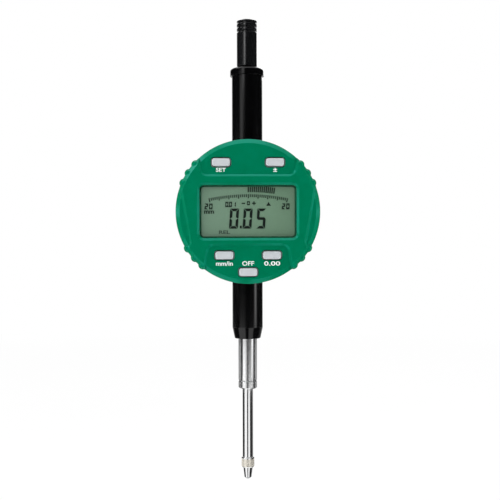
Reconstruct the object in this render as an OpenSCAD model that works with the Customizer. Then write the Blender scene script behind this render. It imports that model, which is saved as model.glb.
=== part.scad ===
// Digital dial indicator: a round display head that turns on a tubular spindle frame.
// Millimetres. +Z runs up the spindle, the face looks along -Y, and the origin lies on the
// spindle axis at the middle of the clamping stem.

/* [View] */
// Sub-part to draw, or all of them

/* [Stem and spindle] */
// Clamping diameter of the stem
stem_d = 8;
// Bare length of the stem under the nose
stem_length = 21.8;
// Height of the ring line above the stem's lower end
stem_line_height = 3.4;
// Width of the ring line
stem_line_w = 0.5;
// Depth of the ring line
stem_line_depth = 0.25;
// Chamfer at the stem's lower end
stem_chamfer = 0.5;
// Diameter of the spigot that screws into the nose
spigot_d = 7.4;
// Spindle diameter
spindle_d = 4.5;
// Bare spindle under the stem at rest
spindle_reach = 29.8;
// Measuring travel
travel = 25.4;
// Wall of the guide bushes
bush_wall = 0.75;
// Length of each guide bush
bush_length = 9;

/* [Contact point] */
// Diameter of the knurled collar
collar_d = 5.5;
// Height of the knurled collar
collar_length = 4.5;
// Chamfer of the collar's edges
collar_chamfer = 0.3;
// Diameter of the cone under the collar
cone_d = 4.2;
// Diameter at the cone's lower end
cone_end_d = 3;
// Length of the cone
cone_length = 4.4;
// Diameter of the contact ball
ball_d = 3;
// How far the ball stands out of the cone
ball_reach = 0.75;
// Thread of the contact point
contact_thread_d = 2.5;
// Length of that thread
contact_thread_length = 6;

/* [Tubes and caps] */
// Outside of both tubes
tube_d = 13.15;
// Wall of both tubes
tube_wall = 1.2;
// From the nose's upper edge to the middle of the head
lower_tube_length = 49.3;
// Length of the tapered nose
nose_length = 4.8;
// Diameter at the nose's lower end
nose_end_d = 11.1;
// Solid end of the lower tube above the nose
nose_shoulder = 2;
// From the middle of the head to the end cap
upper_tube_length = 58.6;
// Diameter of the end cap's rim
end_cap_d = 14.6;
// Height of the end cap's rim
end_cap_rim = 2.2;
// Height of the end cap's crown
end_cap_crown = 1.4;
// Length of the end cap's plug in the tube
end_cap_plug = 6;
// Diameter of the lifting cap
lifting_cap_d = 8.77;
// Length of the lifting cap
lifting_cap_length = 20.1;
// Pitch of the lifting cap's grip grooves
cap_groove_pitch = 1.82;
// Depth of those grooves
cap_groove_depth = 0.6;
// Number of those grooves
cap_groove_count = 3;
// Chamfer of the lifting cap's ends
cap_edge = 0.4;
// How far the spindle reaches into the lifting cap
cap_socket = 12;

/* [Display head] */
// Diameter of the case's wall
case_d = 59.5;
// Side wall of the case
case_wall = 2;
// Front wall under the sunk fields
front_wall = 2.1;
// How far the face plate stands above the sunk fields
face_step = 0.9;
// Width of the bevels at the edge of the face plate
step_bevel = 1.15;
// Width of the bevel round the sunk fields' rim
rim_bevel_w = 1.85;
// Height of that bevel
rim_bevel_h = 1.4;
// Width of the bevel at the face plate's ends
plate_bevel_w = 1.75;
// Height of that bevel
plate_bevel_h = 1.6;
// Radius of one grip lobe
lobe_r = 1.9;
// How far a lobe stands out of the case
lobe_proud = 0.85;
// Angles of the lobes above the level line
upper_lobe_angles = [24, 33, 42];
// Angles of the lobes under the level line
lower_lobe_angles = [31.4, 41, 49.6];
// Thickness of the head's back plate
back_plate_t = 1.8;

/* [Display and keys] */
// Visible part of the display, as shares of the case's diameter
display_share = [0.647, 0.343];
// Dark border of the display holder inside the window
display_border = 0.6;
// Width of the bevel round the window
window_bevel_w = 1.1;
// Depth of that bevel
window_bevel_h = 1;
// Thickness of the window above its flange
window_t = 1.4;
// Thickness of the window's flange
window_flange_t = 0.8;
// Thickness of the display glass
glass_t = 2;
// Face of a key
key_size = [7.4, 3.25];
// Corner radius of a key
key_corner = 1;
// Chamfer of a key
key_chamfer = 0.4;
// How far a key stands above the sunk field
key_proud = 0.8;
// Open gap round a key
key_gap = 0.5;
// Travel of a key
key_travel = 0.5;
// Upper keys: right one from the middle of the head, as shares of the case's diameter
upper_key_share = [0.1857, 0.3378];
// Lower keys: right one from the middle of the head, as shares of the case's diameter
lower_key_share = [0.1639, -0.3017];
// Bottom key from the middle of the head, as shares of the case's diameter
bottom_key_share = [0, -0.4176];

/* [Frame] */
// Distance from the case's wall in to the frame's wall
frame_inset = 4.75;
// Frame wall in front of and behind the tubes
frame_skin = 1.725;
// Depth of the sockets that hold the tubes
socket_depth = 6;
// Chamfer of the frame's and the back cover's edges
frame_chamfer = 0.6;
// Thickness of the back cover
back_cover_t = 2.5;
// Thickness of the lug
lug_t = 5;
// Hole in the lug
lug_hole_d = 6.5;
// Wall round the lug's hole
lug_wall = 2.75;
// From the back cover to the middle of the lug's hole
lug_reach = 5.5;
// Turn of the head to each side
head_turn = 135;

/* [Inside] */
// Height of the reader's sensing field
reader_height = 18;
// Height of the reader board
board_height = 21.6;
// Thickness of both circuit boards
board_t = 1;
// Button cell diameter
battery_d = 11.6;
// Button cell thickness
battery_t = 5.4;
// From the spindle axis to the middle of the button cell, as a share of the frame's radius
battery_share = 0.608;
// Diameter of the battery door
door_d = 14.2;
// Wire of the return spring
spring_wire = 0.5;
// Turns of the return spring
spring_turns = 14;

/* [Hidden] */
$fn = 64;

// Clearances
running_fit = 0.02;
seat_fit = 0.02;
turn_fit = 0.05;
way_clear = 0.35;
read_gap = 0.25;
axial_play = 0.1;
part_gap = 0.3;
corner_relief = 0.02;
over = 1;

// Heights along the spindle
stem_r = stem_d / 2;
spigot_r = spigot_d / 2;
spindle_r = spindle_d / 2;
tube_r = tube_d / 2;
bore_r = tube_r - tube_wall;
bush_r = spindle_r + running_fit + bush_wall;
stem_end = -stem_length / 2;
nose_end = stem_length / 2;
nose_top = nose_end + nose_length;
spigot_top = nose_top + nose_shoulder;
case_z = nose_top + lower_tube_length;
tube_top = case_z + upper_tube_length;
plug_end = tube_top - end_cap_plug;
rim_top = tube_top + end_cap_rim;
crown_top = rim_top + end_cap_crown;
cap_bottom = crown_top + part_gap;
cap_top = cap_bottom + lifting_cap_length;
spindle_top = cap_bottom + cap_socket;
collar_top = stem_end - spindle_reach;
collar_end = collar_top - collar_length;
cone_end = collar_end - cone_length;
ball_z = cone_end - ball_reach + ball_d / 2;

// The carriage on the spindle, with its scale facing the reader
carrier_wall = 0.75;
strip_t = 0.6;
strip_over = 1;
carrier_front = spindle_r + carrier_wall;
strip_front = carrier_front + strip_t;
strip_half = sqrt(pow(bore_r - way_clear, 2) - pow(strip_front, 2));
strip_low = case_z - reader_height / 2 - travel - strip_over;
strip_high = case_z + reader_height / 2 + strip_over;
carrier_low = strip_low - strip_over;
carrier_high = strip_high + strip_over;
pin_r = 1;
pin_z = case_z - travel / 2;
grub_r = 0.8;
grub_spread = 16;

// Radii of the head and the frame about the head's axis
case_r = case_d / 2;
cup_r = case_r - case_wall;
frame_r = case_r - frame_inset;
stop_r = 0.9;
stop_slack = 0.1;
stop_depth = 0.8;
groove_half = stop_r + stop_slack;
groove_land = 0.6;
stop_radius = frame_r - groove_land - groove_half;
washer_w = 2.3;
washer_outer = stop_radius - groove_half - groove_land;
washer_inner = washer_outer - washer_w;
boss_r = washer_inner - part_gap;
boss_wall = 2;
boss_inner = boss_r - boss_wall;
ring_lip = 2;
ring_outer = boss_r + ring_lip;
ring_overhang = 0.6;
ring_inner = boss_inner - ring_overhang;
socket_r = tube_r + seat_fit;
tube_seat = frame_r - socket_depth;

// Depths from the spindle axis towards the viewer
frame_face = tube_r + frame_skin;
cover_face = frame_face + back_cover_t;
board_seat = strip_front + read_gap;
board_top = board_seat + board_t;
washer_t = 0.28;
head_rear = frame_face + part_gap;
plate_top = head_rear + back_plate_t;
boss_top = plate_top + axial_play;
ring_t = 1;
ring_top = boss_top + ring_t;
board_clear = 0.4;
display_board_rear = ring_top + board_clear;
display_board_top = display_board_rear + board_t;
strip_contact_h = 1.1;
glass_rear = display_board_top + strip_contact_h;
glass_front = glass_rear + glass_t;
holder_lip = 0.4;
holder_top = glass_front + holder_lip;
cup_front = holder_top + window_flange_t;
window_front = cup_front + window_t;
sunk_face = cup_front + front_wall;
face = sunk_face + face_step;

// The grip lobes round the case
lobe_radius = case_r + lobe_proud - lobe_r;
lobe_start = (cup_front + sunk_face - rim_bevel_h) / 2;
lobe_angles = concat(
    upper_lobe_angles, 180 * [1, 1, 1] - upper_lobe_angles, -lower_lobe_angles,
    lower_lobe_angles - 180 * [1, 1, 1]
);

// The window and what lies behind it
display_size = case_d * display_share;
window_size = display_size + 2 * display_border * [1, 1];
window_corner = 1.8;
window_fit = 0.05;
window_flange_w = 1.1;
flange_size = window_size + 2 * window_flange_w * [1, 1];
glass_margin = [1.25, 1.3];
glass_size = display_size + 2 * glass_margin;
glass_corner = 0.5;
holder_wall = 1.7;
holder_corner = 1.2;
holder_size = glass_size + 2 * holder_wall * [1, 1];
contact_strip_w = 1.6;
contact_strip_end = 1;
small_corner = 0.2;

// The sunk fields of the face: lines of bevelled cutters, by their floor's edge
field_corner = 2.5;
top_field_half = 0.642 * case_r;
top_field_low = 0.518 * case_r;
top_field_lean = 14;
bottom_field_half = 0.5445 * case_r;
bottom_field_high = -0.474 * case_r;
bottom_field_lean = 11.5;
side_field_top = case_r * [0.938, 0.306];
side_field_low = case_r * [0.812, -0.417];

// The reader board in its pocket
pocket_fit = 0.2;
pocket_height = board_height + 2 * pocket_fit;
pocket_half = sqrt(pow(boss_inner - pocket_fit, 2) - pow(pocket_height / 2, 2));
board_width = 2 * (pocket_half - pocket_fit);

// Screws: thread diameter, head diameter and length
small_screw = [1.4, 2.6, 4];
cover_screw = [2, 3.8, 7];
case_screw = [1.6, 2.8, 6];
screw_edge = 1.5;
pan_head_h = 0.8;
pan_head_edge = 0.3;
quarter_turns = [0, 90, 180, 270];
diagonal_turns = [45, 135, 225, 315];
ring_screw_radius = (boss_inner + boss_r) / 2;
cover_screw_inset = 3;
cover_screw_radius = frame_r - cover_screw_inset;
case_screw_inset = 2.65;
case_screw_radius = case_r - case_screw_inset;
case_screw_angles = [20, 160, 200, 340];
case_boss_r = 1.9;
post_r = 1.4;
display_board_gap = 1.25;
display_board_r = cup_r - display_board_gap;
post_place = case_r * [0.622, 0.5545];
reader_screw_place = [board_width / 2 - screw_edge, board_height / 2 - screw_edge];

// Keys under the front wall
key_hole = key_size + 2 * key_gap * [1, 1];
key_flange_side = 0.55;
key_flange_edge = 0.3;
key_flange_corner = 0.5;
key_flange = [key_hole[0] + 2 * key_flange_side, key_size[1] + 2 * key_flange_edge];
key_flange_t = 1;
key_play = 0.05;
key_top = sunk_face + key_proud;
key_flange_top = cup_front - key_play;
dome_r = 1.5;
dome_top_r = 0.9;
foot_r = 1.05;
dome_h = 0.5;
key_foot = display_board_top + dome_h + key_travel + key_play;
upper_key = case_d * upper_key_share;
lower_key = case_d * lower_key_share;
key_places = [
    [-upper_key[0], upper_key[1]], upper_key, [-lower_key[0], lower_key[1]], lower_key,
    case_d * bottom_key_share
];

// The battery and its door
battery_r = battery_d / 2;
battery_x = battery_share * frame_r;
battery_slack = 0.35;
contact_gap = 0.05;
battery_gap = 0.2;
battery_end = -frame_face + battery_gap;
battery_edge = 0.3;
leaf_t = 0.2;
battery_floor = battery_end + battery_t + leaf_t;
leaf_r = 3.5;
lead_r = 0.55;
minus_lead_offset = 3.1;
minus_lead = [battery_x - minus_lead_offset, 0];
plus_angle = 150;
plus_w = 2;
plus_start = 1;
door_r = door_d / 2;
door_inner = -frame_face - battery_gap;
ear_r = door_r + 1.2;
ear_t = 0.7;
ear_angle = 40;
ear_slack_angle = 2;
ear_root = 1;
door_turn = 60;
coin_slot = [10, 1.4, 1];

// The ribbon cable that winds between the two boards
cable_t = 0.2;
cable_turns = 2;
cable_inner = 4;
cable_plug = 0.5;
reader_chip = [5, 7, 1.2];
reader_socket = [2.4, 6];
socket_inset = 3.8;
socket_in = boss_inner - socket_inset;
socket_size = [2, 8, 1.4];
cable_outer = socket_in - part_gap;
cable_low = frame_face + part_gap;
cable_high = display_board_rear - cable_plug;
spring_clear = 1.35;
spring_r = spindle_r + spring_clear;
thread_relief = 0.5;

// Colours
green = "#007550";
black = "#1b1c1e";
steel = "#b9bcc0";
bronze = "#b08d57";
board_green = "#2f6b46";
grey = "#c8cbd0";
clear = "#d8e4de";
display_grey = "#6e8a76";
pale = "#e6e3d8";
amber = "#c98a3c";
nickel = "#ded8ce";
dark = "#303236";

// The head's own space: x to the right, y up and z towards the viewer
module head_space() {
    translate([0, 0, case_z]) rotate([90, 0, 0]) children();
}

// A disc about the z axis
module drum(r, z0, z1) {
    translate([0, 0, z0]) cylinder(r = r, h = z1 - z0);
}

// A ring about the z axis
module ring(outer, inner, z0, z1) {
    difference() {
        drum(outer, z0, z1);
        drum(inner, z0 - over, z1 + over);
    }
}

// A slab with round corners
module slab(size, r, z0, z1) {
    translate([0, 0, z0]) linear_extrude(z1 - z0) {
        square([size[0] - 2 * r, size[1]], center = true);
        square([size[0], size[1] - 2 * r], center = true);
        for (sx = [-1, 1], sy = [-1, 1])
            translate([sx * (size[0] / 2 - r), sy * (size[1] / 2 - r)]) circle(r);
    }
}

// A slab whose sides lean: it is wider by grow all round at z1 than at z0
module taper_slab(size, r, z0, z1, grow) {
    mid = size / 2 - r * [1, 1];
    for (sx = [-1, 1], sy = [-1, 1])
        translate([sx * mid[0], sy * mid[1], z0]) cylinder(r1 = r, r2 = r + grow, h = z1 - z0);
    rotate([90, 0, 90]) linear_extrude(2 * mid[0], center = true)
        lean_profile(size[1] / 2 - corner_relief, z0, z1, grow);
    rotate([90, 0, 0]) linear_extrude(2 * mid[1], center = true)
        lean_profile(size[0] / 2 - corner_relief, z0, z1, grow);
}

module lean_profile(half, z0, z1, grow) {
    polygon([[-half, z0], [half, z0], [half + grow, z1], [-half - grow, z1]]);
}

// Cuts a sunk field out of the face plate along a line of points, with bevelled sides
module field_cut(points) {
    low = sunk_face - rim_bevel_h - over;
    high = face + over;
    grow = step_bevel * (high - sunk_face) / face_step;
    side = field_corner - corner_relief;
    for (p = points) translate([p[0], p[1], 0]) {
        drum(field_corner, low, sunk_face);
        translate([0, 0, sunk_face])
            cylinder(r1 = field_corner, r2 = field_corner + grow, h = high - sunk_face);
    }
    for (i = [1 : len(points) - 1]) {
        way = points[i] - points[i - 1];
        translate([points[i - 1][0], points[i - 1][1], 0]) rotate([0, 0, atan2(way[1], way[0])])
            rotate([90, 0, 90]) linear_extrude(norm(way)) {
                translate([-side, low]) square([2 * side, sunk_face - low]);
                lean_profile(side, sunk_face, high, grow);
            }
    }
    translate([0, 0, low]) linear_extrude(high - low) polygon(points);
}

// A countersunk screw with its head flush at z = 0 and its shank downwards
module flat_screw(screw, fit = 0) {
    shank = screw[0] / 2 + fit;
    head = screw[1] / 2 + fit;
    rotate_extrude() polygon([
        [0, fit], [head, fit], [head, 0], [shank, shank - head], [shank, -screw[2]], [0, -screw[2]]
    ]);
}

// A pan head screw that sits on z = 0
module pan_screw(screw) {
    head = screw[1] / 2;
    drum(screw[0] / 2, -screw[2], 0);
    rotate_extrude() polygon([
        [0, 0], [head, 0], [head, pan_head_h - pan_head_edge], [head - pan_head_edge, pan_head_h],
        [0, pan_head_h]
    ]);
}

// The four corners of a rectangle
module at_corners(place) {
    for (sx = [-1, 1], sy = [-1, 1]) translate([sx * place[0], sy * place[1], 0]) children();
}

// Equal steps round the z axis
module around(angles, radius) {
    for (angle = angles) rotate([0, 0, angle]) translate([radius, 0, 0]) children();
}

// Display head

// Moulded case: a cup with bevelled rim, a raised face plate with four grips, window and key holes
module front_case() {
    color(green) head_space() difference() {
        union() {
            case_cup();
            face_plate();
            grip_lobes();
        }
        slab(window_size, window_corner, cup_front - over, face);
        taper_slab(window_size, window_corner, face - window_bevel_h, face + over,
            window_bevel_w * (window_bevel_h + over) / window_bevel_h);
        for (place = key_places) translate([place[0], place[1], 0])
            slab(key_hole, key_corner + key_gap, cup_front - over, face + over);
        at_corners(post_place) drum(small_screw[0] / 2 + seat_fit, display_board_top - over, cup_front);
    }
}

module case_cup() {
    rotate_extrude() polygon([
        [0, cup_front], [case_r, cup_front], [case_r, sunk_face - rim_bevel_h],
        [case_r - rim_bevel_w, sunk_face], [0, sunk_face]
    ]);
    translate([0, 0, plate_top]) linear_extrude(lobe_start - plate_top) case_section();
    at_corners(post_place) drum(post_r, display_board_top, cup_front);
}

// The case's wall seen from the front: a ring with grip lobes outside and screw bosses inside
module case_section() {
    difference() {
        union() {
            circle(case_r);
            around(lobe_angles, lobe_radius) circle(lobe_r);
        }
        difference() {
            circle(cup_r);
            around(case_screw_angles, case_screw_radius) circle(case_boss_r);
        }
        around(case_screw_angles, case_screw_radius) circle(case_screw[0] / 2 + seat_fit);
    }
}

module face_plate() {
    difference() {
        rotate_extrude() polygon([
            [0, cup_front], [case_r - case_wall / 2, cup_front], [case_r, sunk_face - rim_bevel_h],
            [case_r, face - plate_bevel_h], [case_r - plate_bevel_w, face], [0, face]
        ]);
        top_x = top_field_half - field_corner;
        top_y = top_field_low + field_corner;
        head_x = top_x + (case_r - top_y) * tan(top_field_lean);
        field_cut([[-head_x, case_r], [-top_x, top_y], [top_x, top_y], [head_x, case_r]]);
        low_x = bottom_field_half - field_corner;
        low_y = bottom_field_high - field_corner;
        foot_x = low_x + (case_r + low_y) * tan(bottom_field_lean);
        field_cut([[-foot_x, -case_r], [-low_x, low_y], [low_x, low_y], [foot_x, -case_r]]);
        for (side = [0, 1]) mirror([side, 0, 0]) field_cut([
            side_field_top + [field_corner, 0], side_field_low + [field_corner, 0],
            [case_r + field_corner, side_field_low[1]], [case_r + field_corner, side_field_top[1]]
        ]);
    }
}

// Upper ends of the grip lobes
module grip_lobes() {
    tip = face - plate_bevel_h / 2;
    around(lobe_angles, lobe_radius) {
        drum(lobe_r, cup_front, tip - rim_bevel_h);
        translate([0, 0, tip - rim_bevel_h]) cylinder(r1 = lobe_r, r2 = lobe_r / 2, h = rim_bevel_h);
    }
}

// Clear window, held from behind by its flange
module display_window() {
    color(clear) head_space() {
        slab(window_size - 2 * window_fit * [1, 1], window_corner - window_fit, cup_front, window_front);
        slab(flange_size, window_corner, holder_top, cup_front);
    }
}

module display_glass() {
    color(display_grey) head_space() slab(glass_size, glass_corner, glass_rear, glass_front);
}

// Black frame round the glass, open at the back and standing on the display board
module display_holder() {
    color(black) head_space() difference() {
        slab(holder_size, holder_corner, display_board_top, holder_top);
        slab(glass_size + 2 * seat_fit * [1, 1], glass_corner + seat_fit,
            display_board_top - over, glass_front);
        slab(display_size, window_corner - display_border, glass_front - over, holder_top + over);
    }
}

// Rubber strips that join the glass to the board
module contact_strips() {
    color(dark) head_space() for (side = [-1, 1])
        translate([0, side * (glass_size[1] / 2 - contact_strip_w), 0])
            slab([glass_size[0] - 2 * contact_strip_end, contact_strip_w], small_corner,
                display_board_top, glass_rear);
}

module display_board() {
    color(board_green) head_space() difference() {
        drum(display_board_r, display_board_rear, display_board_top);
        around(case_screw_angles, case_screw_radius)
            drum(case_boss_r + part_gap, display_board_rear - over, display_board_top + over);
        at_corners(post_place)
            drum(small_screw[0] / 2 + seat_fit, display_board_rear - over, display_board_top + over);
    }
}

module display_board_screws() {
    color(steel) head_space() at_corners(post_place) translate([0, 0, display_board_rear])
        mirror([0, 0, 1]) pan_screw(small_screw);
}

// Snap domes under the keys
module dome_switches() {
    color(steel) head_space() for (place = key_places)
        translate([place[0], place[1], display_board_top])
            cylinder(r1 = dome_r, r2 = dome_top_r, h = dome_h);
}

module cable_socket() {
    color(pale) head_space() translate([socket_in + socket_size[0] / 2, 0, 0])
        slab([socket_size[0], socket_size[1]], small_corner,
            display_board_rear - socket_size[2], display_board_rear);
}

// Plate that closes the head and runs on the frame's boss, with the pin that stops its turn
module head_back() {
    color(black) head_space() {
        difference() {
            ring(case_r, boss_r + turn_fit, head_rear, plate_top);
            around(case_screw_angles, case_screw_radius) translate([0, 0, head_rear]) mirror([0, 0, 1])
                flat_screw(case_screw, seat_fit);
        }
        translate([0, stop_radius, 0]) drum(stop_r, frame_face - stop_depth + stop_slack, head_rear);
    }
}

module head_screws() {
    color(steel) head_space() around(case_screw_angles, case_screw_radius) translate([0, 0, head_rear])
        mirror([0, 0, 1]) flat_screw(case_screw);
}

// Key with a chamfered face, a flange behind the front wall and a foot over its dome
module key(place) {
    flange_low = key_flange_top - key_flange_t;
    flange_mid = key_flange_top - key_flange_t / 2;
    color(grey) head_space() translate([place[0], place[1], 0]) {
        intersection() {
            slab(key_size, key_corner, flange_mid, key_top);
            rotate([90, 0, 90]) linear_extrude(key_size[0] + over, center = true)
                key_profile(key_size[1] / 2, flange_low);
            rotate([90, 0, 0]) linear_extrude(key_size[1] + over, center = true)
                key_profile(key_size[0] / 2, flange_low);
        }
        slab(key_flange, key_flange_corner, flange_low, key_flange_top);
        drum(foot_r, key_foot, flange_mid);
    }
}

// A key's side view, from z0 to past its face, with the face's edges chamfered
module key_profile(half, z0) {
    low = [half + over, key_top - key_chamfer - over];
    high = [half - key_chamfer - over, key_top + over];
    polygon([[-low[0], z0], [low[0], z0], low, high, [-high[0], high[1]], [-low[0], low[1]]]);
}

module key_upper_left() key(key_places[0]);
module key_upper_right() key(key_places[1]);
module key_lower_left() key(key_places[2]);
module key_lower_right() key(key_places[3]);
module key_bottom() key(key_places[4]);

// Frame

// Round body with the spindle's way, tube sockets, reader pocket, battery well and turning boss
module frame_body() {
    color(black) difference() {
        union() {
            head_space() rotate_extrude() polygon([
                [0, -frame_face], [frame_r, -frame_face], [frame_r, frame_face - frame_chamfer],
                [frame_r - frame_chamfer, frame_face], [0, frame_face]
            ]);
            head_space() drum(boss_r, frame_face - over, boss_top);
        }
        translate([0, 0, case_z]) drum(bore_r, -case_r, case_r);
        for (side = [0, 1]) translate([0, 0, case_z]) mirror([0, 0, side]) drum(socket_r, tube_seat, case_r);
        head_space() {
            drum(boss_inner, frame_face, boss_top + over);
            slab([2 * pocket_half, pocket_height], glass_corner, board_seat, frame_face + over);
            stop_groove();
            guide_slot();
            battery_well();
            around(quarter_turns, ring_screw_radius)
                drum(small_screw[0] / 2 + seat_fit, ring_top - small_screw[2] - seat_fit, boss_top + over);
            around(diagonal_turns, cover_screw_radius)
                drum(cover_screw[0] / 2 + seat_fit, -frame_face - over,
                    cover_screw[2] - cover_face + seat_fit);
            at_corners(reader_screw_place)
                drum(small_screw[0] / 2 + seat_fit, board_top - small_screw[2] - seat_fit, board_seat + over);
        }
    }
}

// Groove that lets the stop pin turn with the head to either side
module stop_groove() {
    slack = asin(groove_half / stop_radius);
    rotate([0, 0, 90 - head_turn - slack]) rotate_extrude(angle = 2 * (head_turn + slack))
        translate([stop_radius - groove_half, frame_face - stop_depth])
            square([2 * groove_half, stop_depth + over]);
}

// Slot that keeps the spindle from turning
module guide_slot() {
    half = pin_r + running_fit;
    length = travel + 2 * (pin_r + way_clear);
    translate([-half, -length / 2, -frame_face - over]) cube([2 * half, length, frame_face + over]);
}

module battery_well() {
    translate([battery_x, 0, 0]) drum(battery_r + battery_slack, -frame_face - over, battery_floor);
    for (lead = [minus_lead, plus_lead()])
        translate([lead[0], lead[1], 0]) drum(lead_r + seat_fit, battery_floor - over, board_seat + over);
}

function plus_lead() = [battery_x, 0] + (battery_r - lead_r) * [cos(plus_angle), sin(plus_angle)];

module friction_washer() {
    color(pale) head_space() ring(washer_outer, washer_inner, frame_face, frame_face + washer_t);
}

// Ring that holds the head on the boss
module turn_ring() {
    color(steel) head_space() difference() {
        ring(ring_outer, ring_inner, boss_top, ring_top);
        around(quarter_turns, ring_screw_radius) translate([0, 0, ring_top])
            flat_screw(small_screw, seat_fit);
    }
}

module turn_ring_screws() {
    color(steel) head_space() around(quarter_turns, ring_screw_radius) translate([0, 0, ring_top])
        flat_screw(small_screw);
}

module reader_board() {
    color(board_green) head_space() difference() {
        slab([board_width, board_height], glass_corner, board_seat, board_top);
        at_corners(reader_screw_place)
            drum(small_screw[0] / 2 + seat_fit, board_seat - over, board_top + over);
    }
}

// Reading chip and the cable's socket on the reader board
module reader_chips() {
    color(dark) head_space() {
        translate([-2 * reader_socket[0], 0, 0])
            slab([reader_chip[0], reader_chip[1]], small_corner, board_top, board_top + reader_chip[2]);
        translate([cable_inner, 0, 0]) slab(reader_socket, small_corner, board_top, cable_low);
    }
}

module reader_screws() {
    color(steel) head_space() at_corners(reader_screw_place) translate([0, 0, board_top])
        pan_screw(small_screw);
}

// Flat cable in a loose spiral, so that the head can turn
module display_cable() {
    steps = 72;
    grow = (cable_outer - cable_t - cable_inner) / steps;
    inner = [for (i = [0 : steps]) cable_point(cable_inner + grow * i, i / steps)];
    outer = [for (i = [steps : -1 : 0]) cable_point(cable_inner + cable_t + grow * i, i / steps)];
    color(amber) head_space() translate([0, 0, cable_low]) linear_extrude(cable_high - cable_low)
        polygon(concat(inner, outer));
}

function cable_point(r, share) = r * [cos(360 * cable_turns * share), sin(360 * cable_turns * share)];

module battery() {
    color(steel) head_space() translate([battery_x, 0, 0]) rotate_extrude() polygon([
        [0, battery_end], [battery_r - battery_edge, battery_end], [battery_r, battery_end + battery_edge],
        [battery_r, battery_end + battery_t], [0, battery_end + battery_t]
    ]);
}

// Leaf under the cell and strip beside it, each with a lead to the reader board
module battery_contacts() {
    color(bronze) head_space() {
        translate([battery_x, 0, 0]) drum(leaf_r, battery_floor - leaf_t, battery_floor);
        translate([minus_lead[0], minus_lead[1], 0]) drum(lead_r, battery_floor - leaf_t / 2, board_seat);
        translate([battery_x, 0, 0]) rotate([0, 0, plus_angle]) {
            translate([battery_r + contact_gap, -plus_w / 2, battery_end + plus_start])
                cube([leaf_t, plus_w, battery_floor - battery_end - plus_start]);
            translate([battery_r - plus_w, -plus_w / 2, battery_floor - leaf_t])
                cube([plus_w + contact_gap + leaf_t, plus_w, leaf_t]);
        }
        translate([plus_lead()[0], plus_lead()[1], 0]) drum(lead_r, battery_floor - leaf_t / 2, board_seat);
    }
}

// Cover with the fixing lug and the bayonet mouth of the battery door
module back_cover() {
    lug_r = lug_hole_d / 2 + lug_wall;
    hole_z = -cover_face - lug_reach;
    color(black) head_space() difference() {
        union() {
            rotate_extrude() polygon([
                [0, -frame_face], [frame_r, -frame_face], [frame_r, frame_chamfer - cover_face],
                [frame_r - frame_chamfer, -cover_face], [0, -cover_face]
            ]);
            rotate([90, 0, 90]) linear_extrude(lug_t, center = true) {
                translate([-lug_r, hole_z]) square([2 * lug_r, lug_reach + frame_chamfer]);
                translate([0, hole_z]) circle(lug_r);
            }
        }
        translate([-lug_t, 0, hole_z]) rotate([0, 90, 0]) cylinder(r = lug_hole_d / 2, h = 2 * lug_t);
        around(diagonal_turns, cover_screw_radius) translate([0, 0, -cover_face]) mirror([0, 0, 1])
            flat_screw(cover_screw, seat_fit);
        translate([battery_x, 0, 0]) {
            drum(door_r + turn_fit, -cover_face - over, -frame_face + over);
            drum(ear_r + 2 * stop_slack, door_inner - ear_t - axial_play, -frame_face + over);
            for (side = [90, 270]) rotate([0, 0, side + door_turn])
                door_ear(ear_angle + ear_slack_angle, stop_slack, -cover_face - over, -frame_face + over);
        }
    }
}

// One bayonet ear, centred on the x axis, or its notch with some slack
module door_ear(wide, slack, z0, z1) {
    rotate([0, 0, -wide / 2]) translate([0, 0, z0]) rotate_extrude(angle = wide)
        translate([door_r - ear_root, 0]) square([ear_r + slack - door_r + ear_root, z1 - z0]);
}

module back_screws() {
    color(steel) head_space() around(diagonal_turns, cover_screw_radius) translate([0, 0, -cover_face])
        mirror([0, 0, 1]) flat_screw(cover_screw);
}

// Round door that a coin turns
module battery_door() {
    color(black) head_space() translate([battery_x, 0, 0]) {
        difference() {
            drum(door_r, -cover_face, door_inner);
            translate([0, 0, -cover_face])
                cube([coin_slot[0], coin_slot[1], 2 * coin_slot[2]], center = true);
        }
        for (side = [90, 270]) rotate([0, 0, side])
            door_ear(ear_angle, 0, door_inner - ear_t, door_inner - axial_play);
    }
}

module upper_tube() {
    color(black) ring(tube_r, bore_r, case_z + tube_seat, tube_top);
}

// Cap on the upper tube: a plug, a rim and a crowned top round the spindle's bush
module upper_end_cap() {
    rim_r = end_cap_d / 2;
    crown_r = lifting_cap_d / 2;
    steps = 6;
    crown = [for (i = [0 : steps]) [
        crown_r + (rim_r - crown_r) * cos(90 * i / steps), rim_top + end_cap_crown * sin(90 * i / steps)
    ]];
    color(black) rotate_extrude() polygon(concat(
        [
            [bush_r + seat_fit, plug_end], [bore_r - seat_fit, plug_end], [bore_r - seat_fit, tube_top],
            [rim_r, tube_top]
        ],
        crown, [[bush_r + seat_fit, crown_top]]
    ));
}

module upper_bush() {
    color(bronze) ring(bush_r, spindle_r + running_fit, crown_top - bush_length, crown_top);
}

// Lower tube with the tapered nose that carries the stem
module lower_tube() {
    color(black) rotate_extrude() polygon([
        [spigot_r + seat_fit, nose_end], [nose_end_d / 2, nose_end], [tube_r, nose_top],
        [tube_r, case_z - tube_seat], [bore_r, case_z - tube_seat], [bore_r, spigot_top],
        [spigot_r + seat_fit, spigot_top]
    ]);
}

// Hollow stem, ground outside, with a spigot that screws into the nose
module stem() {
    line = stem_end + stem_line_height;
    color(steel) rotate_extrude() polygon([
        [bush_r + seat_fit, stem_end], [stem_r - stem_chamfer, stem_end], [stem_r, stem_end + stem_chamfer],
        [stem_r, line - stem_line_w / 2], [stem_r - stem_line_depth, line], [stem_r, line + stem_line_w / 2],
        [stem_r, nose_end], [spigot_r, nose_end], [spigot_r, spigot_top], [bush_r + seat_fit, spigot_top]
    ]);
}

module stem_bush_upper() {
    color(bronze) ring(bush_r, spindle_r + running_fit, spigot_top - bush_length, spigot_top);
}

module stem_bush_lower() {
    color(bronze) ring(bush_r, spindle_r + running_fit, stem_end, stem_end + bush_length);
}

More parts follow.
